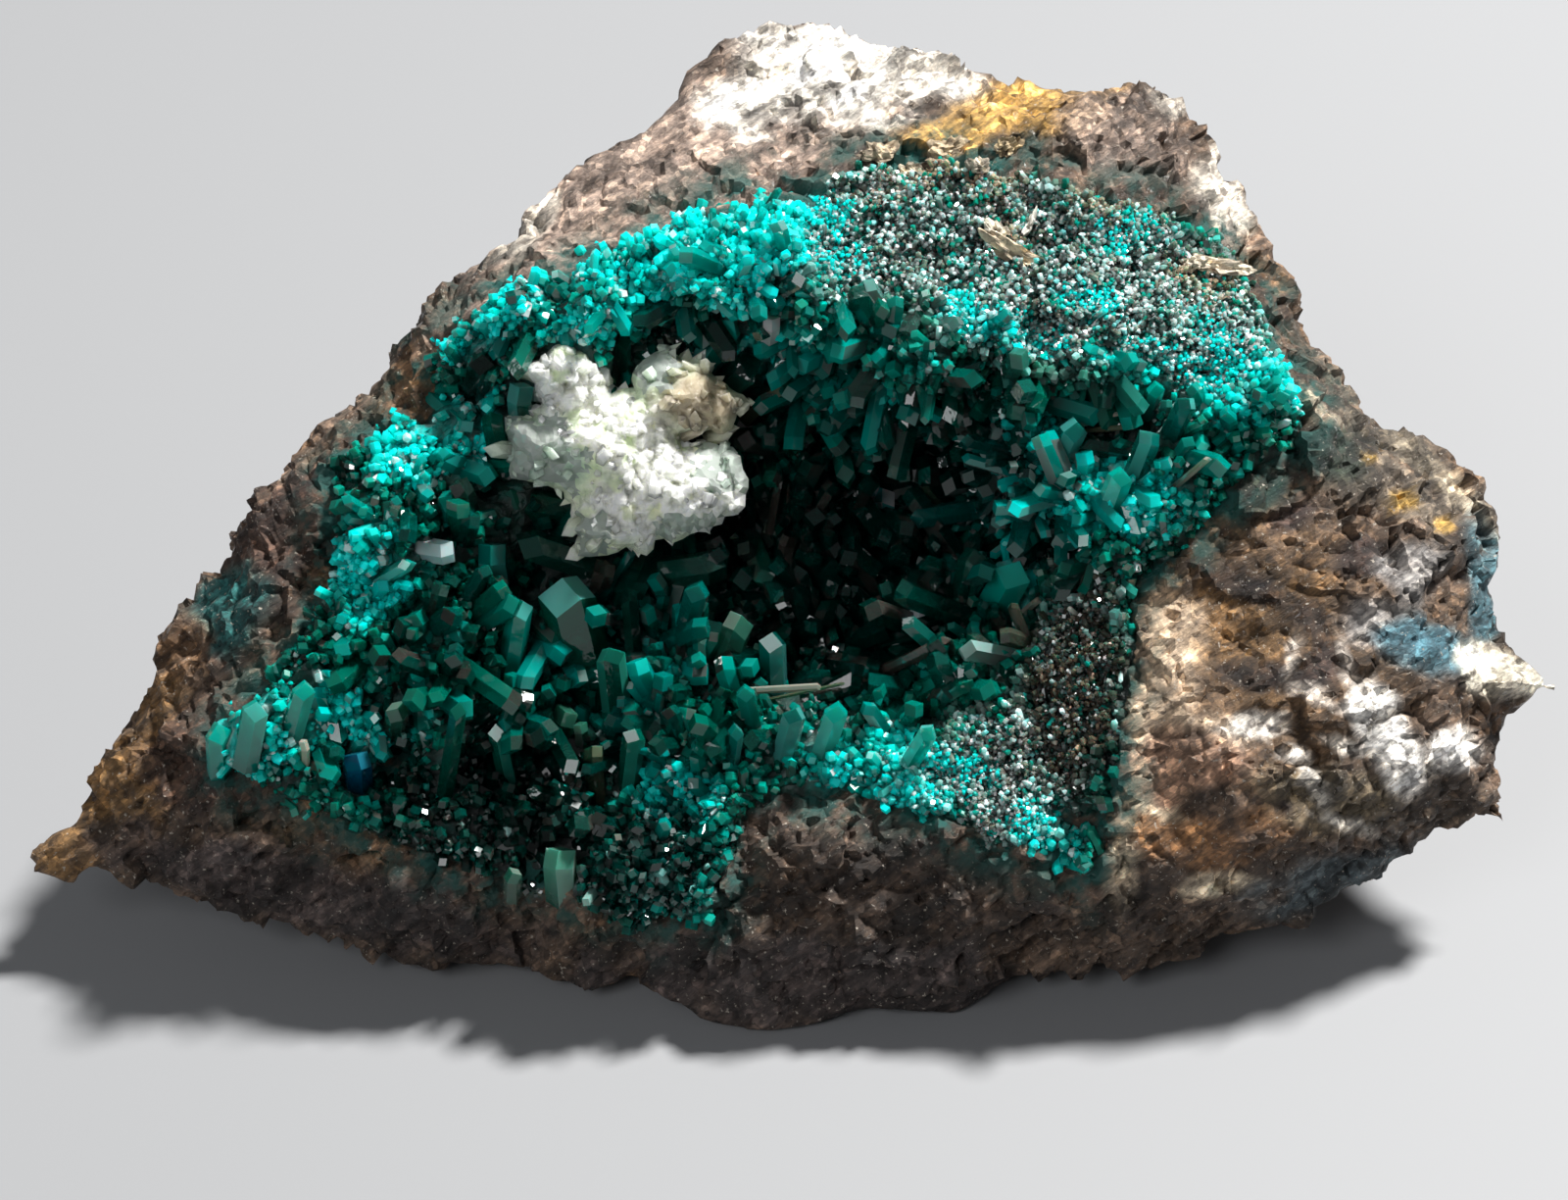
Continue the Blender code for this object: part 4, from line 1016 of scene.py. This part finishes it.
def tree_of(obj):
    points = [Vector(p) for p in rows(obj.data.vertices, "co")]
    return BVHTree.FromPolygons(points, [tuple(p.vertices) for p in obj.data.polygons])


def surface_at(across, up, bed_tree, lump_tree):
    """Where the eye sees a landmark on the bed, or else on the lump, and the surface's normal there."""
    way = (at(across, up, 0) - EYE).normalized()
    hit, outward, *_ = bed_tree.ray_cast(EYE, way)
    if hit is None:
        hit, outward, *_ = lump_tree.ray_cast(EYE, way)
    return hit, outward


def tall_crystals(bed_tree, lump_tree):
    """The crystals that stand out one by one, where the photograph shows them."""
    chance = np.random.default_rng(21)
    feet, axes, lengths, bodies, sheen_colours, shares = [], [], [], [], [], []
    for across, up, tip_across, tip_up, rise, _, _, look in TALL_CRYSTALS:
        hit, _ = surface_at(across, up, bed_tree, lump_tree)
        depth = (hit - MIDDLE).dot(OUT) / MM
        tip = at(tip_across, tip_up, depth + rise + BURIED)
        body, pale, share = LOOKS[look]
        feet.append(hit)
        axes.append((tip - hit).normalized())
        lengths.append((tip - hit).length)
        bodies.append(body)
        sheen_colours.append(pale)
        shares.append(share)
    count = len(feet)
    widths = np.array([row[5] for row in TALL_CRYSTALS]) * MM
    flats = np.array([row[6] for row in TALL_CRYSTALS])
    # Faces are painted pale at random, as painted reflections
    reflection_shares = (chance.random((count, 9)) < np.array(shares)[:, None]) * chance.uniform(0.6, 1.0, (count, 9))
    # The rhombs at the tip of the largest prism are all painted pale, as a painted highlight
    hero = np.array([row[7] == "hero" for row in TALL_CRYSTALS])
    reflection_shares[hero, 6:] = 1.0
    return crystal_mesh(
        "tall_crystals", np.array(feet), np.array(axes), chance.uniform(0, 2 * math.pi, count), widths, flats,
        np.array(lengths), np.array(bodies), reflection_shares, np.array(sheen_colours), closed=True,
    )


# Calcite cluster

CALCITE_OUTLINE = [
    (-13.6, 15.1), (-12.7, 15.2), (-12.0, 14.9), (-11.3, 14.1), (-10.5, 13.4), (-10.1, 12.3),
    (-9.0, 12.7), (-9.0, 13.6), (-8.1, 14.1), (-7.2, 14.9), (-6.1, 15.1), (-6.5, 14.7),
    (-5.8, 14.1), (-5.2, 14.3), (-4.0, 13.9), (-4.3, 13.4), (-3.2, 12.4), (-1.9, 11.8),
    (-2.6, 11.1), (-3.0, 10.1), (-3.8, 9.8), (-6.0, 9.8), (-5.9, 9.2), (-4.0, 9.2),
    (-2.6, 8.4), (-2.1, 7.1), (-2.3, 5.6), (-3.5, 4.7), (-4.6, 4.0), (-7.5, 3.4),
    (-8.1, 2.6), (-9.4, 3.2), (-10.4, 2.6), (-12.1, 2.6), (-12.3, 4.7), (-12.7, 5.6),
    (-13.3, 5.5), (-12.9, 6.3), (-14.2, 6.8), (-16.1, 7.2), (-16.2, 8.2), (-17.1, 8.8),
    (-16.2, 9.1), (-16.3, 10.1), (-16.5, 10.7), (-14.9, 10.7), (-14.4, 11.5), (-14.7, 12.8),
    (-15.8, 13.3), (-15.7, 14.0), (-14.5, 14.3),
]
CALCITE_WHITE_AND_HIGHLIGHT = [
    (-13.2, 13.2, 2.6, 2.8, 0), (-10.6, 10.7, 5.0, 2.2, -20), (-7.4, 8.0, 3.3, 4.0, 0),
    (-4.4, 5.8, 3.4, 2.0, 15), (-9.4, 5.4, 2.2, 1.6, 0),
]
CALCITE_TAN = [(-4.9, 11.6, 3.0, 2.2, 0)]
CALCITE_GLASS = [
    (-14.4, 8.6, 3.0, 1.9, -25), (-3.4, 7.9, 1.9, 1.3, 0), (-7.6, 13.6, 1.4, 1.5, 0),
    (-11.6, 4.0, 1.2, 1.4, 0), (-5.6, 4.6, 2.0, 0.7, 15),
]
CALCITE_CREAM = [(-9.6, 4.2, 4.0, 2.2, 0)]
CALCITE_LOBE = [(-13.2, 13.4, 2.8, 2.6, 0)]
# In mm: the rim's steps and juts, the front's net and its jitter, the width of a terrace and the back's place
RIM_STEP = 0.5
RIM_JUT = 0.10
NET_STEP = 0.26
NET_JUT = 0.07
TERRACE = 1.3
CALCITE_BACK = -3.6
# The back's size as a share of the front's, and the number of small points along the rim and on the front
BACK_SHARE = 0.88
RIM_CRYSTALS = 80
TOP_CRYSTALS = 130


def calcite_tone(across, up, ragged, luck):
    """The cluster's colour, and how much each place is white calcite painted brighter as highlight and
    glitter.
    """
    tone = np.tile(np.array((0.77, 0.86, 0.66)), (len(across), 1)) * (0.8 + 0.3 * luck)[:, None]
    tone = mix_to(tone, np.array((0.36, 0.52, 0.44)), in_patches(CALCITE_GLASS, across, up, ragged) * 0.8)
    tone = mix_to(tone, np.array((0.86, 0.90, 0.66)), in_patches(CALCITE_CREAM, across, up, ragged) * 0.7)
    # White calcite, painted near white as a highlight
    white = in_patches(CALCITE_WHITE_AND_HIGHLIGHT, across, up, ragged * 1.5) * (luck > 0.18)
    tone = mix_to(tone, np.array((0.98, 0.99, 0.97)), white)
    tan = in_patches(CALCITE_TAN, across, up, ragged)
    return mix_to(tone, np.array((0.36, 0.30, 0.22)) * 1.1, tan), white


def calcite_rim(chance):
    """The outline with small random juts."""
    rim = []
    for (ax, ay), (bx, by) in zip(CALCITE_OUTLINE, CALCITE_OUTLINE[1:] + CALCITE_OUTLINE[:1]):
        pieces = max(1, round(math.hypot(bx - ax, by - ay) / RIM_STEP))
        for k in range(pieces):
            jut = chance.normal(0, RIM_JUT, 2)
            rim.append((ax + (bx - ax) * k / pieces + jut[0], ay + (by - ay) * k / pieces + jut[1]))
    return rim


def calcite_net(rim, chance):
    """Spots (across, up) inside the rim, and the triangles between them."""
    columns, rows = np.arange(-18, -1, NET_STEP), np.arange(2, 16, NET_STEP)
    grid = np.stack(np.meshgrid(columns, rows), axis=-1).reshape(-1, 2)
    grid += chance.uniform(-NET_JUT, NET_JUT, grid.shape)
    grid = grid[outline_depth(rim, grid[:, 0], grid[:, 1]) > 0.2]
    flat = [Vector(p) for p in rim] + [Vector(p) for p in grid]
    border = [(k, (k + 1) % len(rim)) for k in range(len(rim))]
    spots, _, triangles, *_ = delaunay_2d_cdt(flat, border, [], 1, 1e-5)
    return np.array([tuple(p) for p in spots]), triangles


def calcite_relief(rim, spots):
    """How far out each spot of the front stands, in mm, and its colour."""
    across, up = spots[:, 0], spots[:, 1]
    inward = np.maximum(outline_depth(rim, across, up), 0)
    space = np.stack([across, up, np.zeros(len(spots))], axis=1)
    big, _ = shards(space, 3.2, 7)
    small, _ = shards(space, 1.1, 9)
    fine, crack = shards(space, 0.75, 15)
    ragged = rough_noise(space, 1.6, 3, 3) * 0.35
    tone, white = calcite_tone(across, up, ragged, scatter_bits(np.floor(space / 0.8).astype(np.int64), 5))
    tone *= 1 - 0.4 * (white * (crack < 0.10))[:, None]
    terrace = np.mod(up + 0.45 * across + 1.6 * rough_noise(space, 2.4, 2, 6), TERRACE) / TERRACE
    glass = in_patches(CALCITE_GLASS, across, up, ragged)
    rise = 0.7 + 3.0 * (1 - np.exp(-inward / 1.9)) + 0.9 * big + 0.3 * small * (1 - white) * (1 - 0.7 * glass)
    rise += white * (0.40 * (0.5 - terrace) + 0.40 * small + 0.35 * fine) + 0.5
    rise += 0.15 * soft_noise(space, 0.5, 8) + 0.9 * in_patches(CALCITE_LOBE, across, up, ragged)
    return np.where(inward < 0.01, 0.6 + 0.4 * small, rise), tone


def calcite_body(spots, triangles, points, tone):
    """The front, a wall around it that narrows to the back, and the back."""
    bm = bmesh.new()
    layer = bm.verts.layers.float_color.new("tone")
    front = [bm.verts.new(p) for p in points]
    for vertex, colour in zip(front, tone):
        vertex[layer] = (*colour, 1)
    for triangle in triangles:
        bm.faces.new([front[k] for k in triangle])
    open_edges = [e for e in bm.edges if e.is_boundary]
    wall = bmesh.ops.extrude_edge_only(bm, edges=open_edges)["geom"]
    skirt = [v for v in wall if isinstance(v, bmesh.types.BMVert)]
    middle = spots.mean(axis=0)
    inner = middle + (np.stack(seen(np.array([v.co for v in skirt])), axis=1) - middle) * BACK_SHARE
    for vertex, (x, y) in zip(skirt, inner):
        vertex.co = at(x, y, CALCITE_BACK)
    bmesh.ops.holes_fill(bm, edges=[e for e in bm.edges if e.is_boundary], sides=0)
    bmesh.ops.recalc_face_normals(bm, faces=bm.faces)
    mesh = bpy.data.meshes.new("calcite")
    bm.to_mesh(mesh)
    bm.free()
    mesh.shade_flat()
    middles = np.array([p.center for p in mesh.polygons])
    clear = in_patches(CALCITE_GLASS, *seen(middles), rough_noise(middles, 1.2 * MM, 3, 41) * 0.5)
    mesh.polygons.foreach_set("material_index", (clear > 0.5).astype(np.int32))
    return new_object("calcite_body", mesh)


def calcite_points(rim, spots, points, chance):
    """Small pointed crystals along the rim and all over the front."""
    on_rim = chance.integers(0, len(rim), RIM_CRYSTALS)
    on_top = chance.integers(0, len(spots), TOP_CRYSTALS)
    rim_spots = np.array(rim)[on_rim]
    away = rim_spots - spots.mean(axis=0)
    away /= np.linalg.norm(away, axis=1, keepdims=True)
    feet = [at(x, y, 0.2 + chance.uniform(-0.8, 1.0)) for x, y in rim_spots - away * 0.45]
    feet += [Vector(points[k]) for k in on_top]
    slopes = np.concatenate([away * 1.3, chance.normal(0, 0.45, (TOP_CRYSTALS, 2))])
    slopes += chance.normal(0, 0.3, slopes.shape)
    stand = np.concatenate([np.full(RIM_CRYSTALS, 0.5), np.full(TOP_CRYSTALS, 1.0)])
    axes = np.array([
        tuple((Vector((x, 0, 0)) + UP_FACE * y + OUT * z).normalized()) for (x, y), z in zip(slopes, stand)
    ])
    amount = len(feet)
    across, up = np.concatenate([rim_spots, spots[on_top]]).T
    colours, _ = calcite_tone(across, up, np.zeros(amount), chance.random(amount))
    rim_widths = 0.4 + 0.9 * chance.random(RIM_CRYSTALS) ** 2
    widths = np.concatenate([rim_widths, 0.30 + 0.7 * chance.random(TOP_CRYSTALS) ** 2]) * MM
    return crystal_mesh(
        "calcite_points", np.array(feet), axes, chance.uniform(0, 2 * math.pi, amount), widths,
        chance.uniform(0.5, 1.0, amount), widths * chance.uniform(0.75, 1.15, amount), colours / 0.85,
        np.zeros((amount, 9)), colours, closed=True, steep=0.5,
    )


def calcite():
    """The pale cluster: a domed shell of terraces with a ragged rim, and small pointed crystals on it."""
    chance = np.random.default_rng(4)
    rim = calcite_rim(chance)
    spots, triangles = calcite_net(rim, chance)
    out, tone = calcite_relief(rim, spots)
    points = [at(x, y, z) for (x, y), z in zip(spots, out)]
    return calcite_body(spots, triangles, points, tone), calcite_points(rim, spots, points, chance)


# Flakes

# How thick half a flake is and how high its middle lies, in mm
FLAKE_THICKNESS = 0.3
FLAKE_RISE = 0.45
# Flakes and crumbs of rock that lie on the crust: (across, up), half length, half width, turn and colour
FLAKES = [
    (14.0, 20.1, 2.6, 0.62, -33, (0.66, 0.55, 0.40)),
    (12.6, 21.3, 1.0, 0.50, -50, (0.74, 0.68, 0.56)),
    (14.6, 21.9, 0.8, 0.18, 70, (0.80, 0.80, 0.74)),
    (25.4, 19.7, 1.9, 0.42, -5, (0.66, 0.58, 0.46)),
    (24.0, 19.9, 0.7, 0.40, 15, (0.70, 0.64, 0.52)),
    (5.6, 26.2, 1.0, 0.60, 10, (0.40, 0.33, 0.24)),
    (7.3, 25.1, 0.9, 0.50, -30, (0.52, 0.45, 0.34)),
    (9.6, 26.4, 1.2, 0.65, 20, (0.36, 0.29, 0.20)),
    (11.4, 25.3, 0.7, 0.45, -10, (0.56, 0.50, 0.40)),
    (13.2, 26.6, 0.8, 0.50, 40, (0.46, 0.36, 0.22)),
]


def flakes(bed_tree, lump_tree):
    """Thin ragged flakes of rock, each on the surface under it."""
    bm = bmesh.new()
    colours = []
    for number, (cx, cy, half_length, half_width, turn, colour) in enumerate(FLAKES):
        hit, up_off = surface_at(cx, cy, bed_tree, lump_tree)
        up_off = (up_off + OUT).normalized()
        along = Vector((1, 0, 0)) * math.cos(math.radians(turn)) + UP_FACE * math.sin(math.radians(turn))
        along = (along - up_off * along.dot(up_off)).normalized()
        aside = up_off.cross(along)
        verts = bmesh.ops.create_icosphere(bm, subdivisions=4, radius=1)["verts"]
        ball = np.array([v.co for v in verts])
        longer = ball * np.array((2.0, 1.0, 1.0))
        facets, _ = shards(longer, 0.9, 3 * number)
        swell = 1 + 0.5 * facets + 0.25 * rough_noise(longer, 0.8, 3, number)
        for vertex, part, size in zip(verts, ball, swell):
            spot = along * (part[0] * half_length) + aside * (part[1] * half_width)
            spot += up_off * (part[2] * FLAKE_THICKNESS + FLAKE_RISE)
            vertex.co = hit + spot * (size * MM)
        dark = 0.55 + 0.45 * step(-0.5, 0.3, rough_noise(ball * half_length, 0.7, 3, number + 40))
        colours.append(np.array(colour) * dark[:, None])
    mesh = bpy.data.meshes.new("rock_flakes")
    bm.to_mesh(mesh)
    bm.free()
    paint(mesh, "tone", np.concatenate(colours))
    mesh.shade_flat()
    return new_object("rock_flakes", mesh)


# Making the specimen

lump = filled_lump()
remeshed(lump, ROCK_VOXEL)
relaxed(lump.data, rounds=3, strength=0.5)
rock = host_rock(lump)
rock_look = rock_material()
rock.data.materials.append(rock_look)

bed, bed_normals = crust_bed(lump)
bed.data.materials.append(bed_material())

druse_look = druse_material()
gem_look = gem_material()
crust = [bed]
for number, count in enumerate(DRUSE_CRYSTALS):
    piece = grown_crystals(
        f"druse_{number + 1}", bed, bed_normals, count, 100 + number,
        size=lambda f, luck: (
            (0.20 + 0.20 * luck + (1 - f["salt"]) * (0.08 + 0.48 * luck**3)) * MM * (1 - 0.25 * f["painted_glow"])
        ),
        slender=lambda f, luck: 0.8 + 1.1 * luck + 0.8 * f["prism"] * luck,
        weigh=lambda f: (0.8 + 1.9 * f["salt"] + 1.3 * f["painted_glow"]) * (1 - 0.5 * f["holes"]),
        spread=lambda f: 0.55 + 0.3 * f["salt"],
        grey=lambda f: 0.05 + 0.05 * f["deep"],
        closed=False,
    )
    piece.data.materials.append(druse_look)
    crust.append(piece)
medium = grown_crystals(
    "medium_crystals", bed, bed_normals, MEDIUM_CRYSTALS, 7,
    size=lambda f, luck: (0.50 + (1.2 - 0.5 * f["painted_glow"]) * luck**2.6 * f["inner"]) * MM,
    slender=lambda f, luck: 1.2 + 1.6 * luck + 2.0 * f["prism"] * luck,
    weigh=lambda f: (
        (0.38 + 1.3 * f["prism"] - 0.1 * f["painted_glow"]) * np.maximum(0, 1 - 1.3 * f["salt"])
        * (0.2 + 0.8 * f["inner"]) * (1 - 0.8 * f["holes"]) * (1 - 0.5 * f["dim"])
    ),
    spread=lambda f: 0.65 + 0.25 * f["prism"],
    grey=lambda f: 0.06 + 0.12 * f["prism"],
    closed=True,
)
medium.data.materials.append(gem_look)
bed_tree, lump_tree = tree_of(bed), tree_of(lump)
tall = tall_crystals(bed_tree, lump_tree)
tall.data.materials.append(gem_look)
crust += [medium, tall]
chips = flakes(bed_tree, lump_tree)
chips.data.materials.append(rock_look)

cluster = calcite()
calcite_look = calcite_material()
for piece in cluster:
    piece.data.materials.append(calcite_look)
cluster[0].data.materials.append(clear_calcite_material())
bpy.data.objects.remove(lump)

for piece in (rock, chips):
    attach(piece, "root")
    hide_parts("matrix")
for piece in crust:
    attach(piece, "root")
    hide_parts("dioptase_crust")
for piece in cluster:
    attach(piece, "root")
    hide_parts("calcite_cluster")


# Floor, light and camera

FLOOR_SIZE = 6
KEY_WAY = Vector((0.44, 0.28, 0.85)).normalized()
SOFT_WAY = Vector((-0.45, -0.62, 0.64)).normalized()
SENSOR_WIDTH = 36


def area_light(name, way, distance, size, power, colour):
    """A round light that shines on the specimen from one way."""
    data = bpy.data.lights.new(name, "AREA")
    data.shape = "DISK"
    data.size = size
    data.energy = power
    data.color = colour
    light = new_object(name, data)
    light.location = MIDDLE + way * distance
    light.rotation_euler = (-way).to_track_quat("-Z", "Y").to_euler()


bpy.ops.mesh.primitive_plane_add(size=FLOOR_SIZE, location=(0, 0, 0))
floor = bpy.context.object
floor.name = "floor"
floor_look, _, floor_shader = material("floor")
set_inputs(floor_shader, {"Base Color": (0.26, 0.265, 0.275, 1), "Roughness": 0.6})
floor.data.materials.append(floor_look)

area_light("key", KEY_WAY, distance=0.7, size=0.10, power=13.0, colour=(1.0, 0.985, 0.96))
area_light("soft", SOFT_WAY, distance=0.8, size=0.42, power=2.0, colour=(0.97, 0.985, 1.0))

world = bpy.data.worlds.new("world")
bpy.context.scene.world = world
world.use_nodes = True
set_inputs(world.node_tree.nodes["Background"], {"Color": (0.80, 0.82, 0.85, 1), "Strength": 0.13})

camera_data = bpy.data.cameras.new("camera")
camera_data.sensor_width = SENSOR_WIDTH
camera_data.lens = SENSOR_WIDTH * EYE_DISTANCE / VIEW_WIDTH
camera_data.clip_start = 0.01
camera = new_object("camera", camera_data)
camera.location = EYE
camera.rotation_euler = (-OUT).to_track_quat("-Z", "Y").to_euler()
bpy.context.scene.camera = camera
bpy.context.scene.view_settings.view_transform = "Standard"
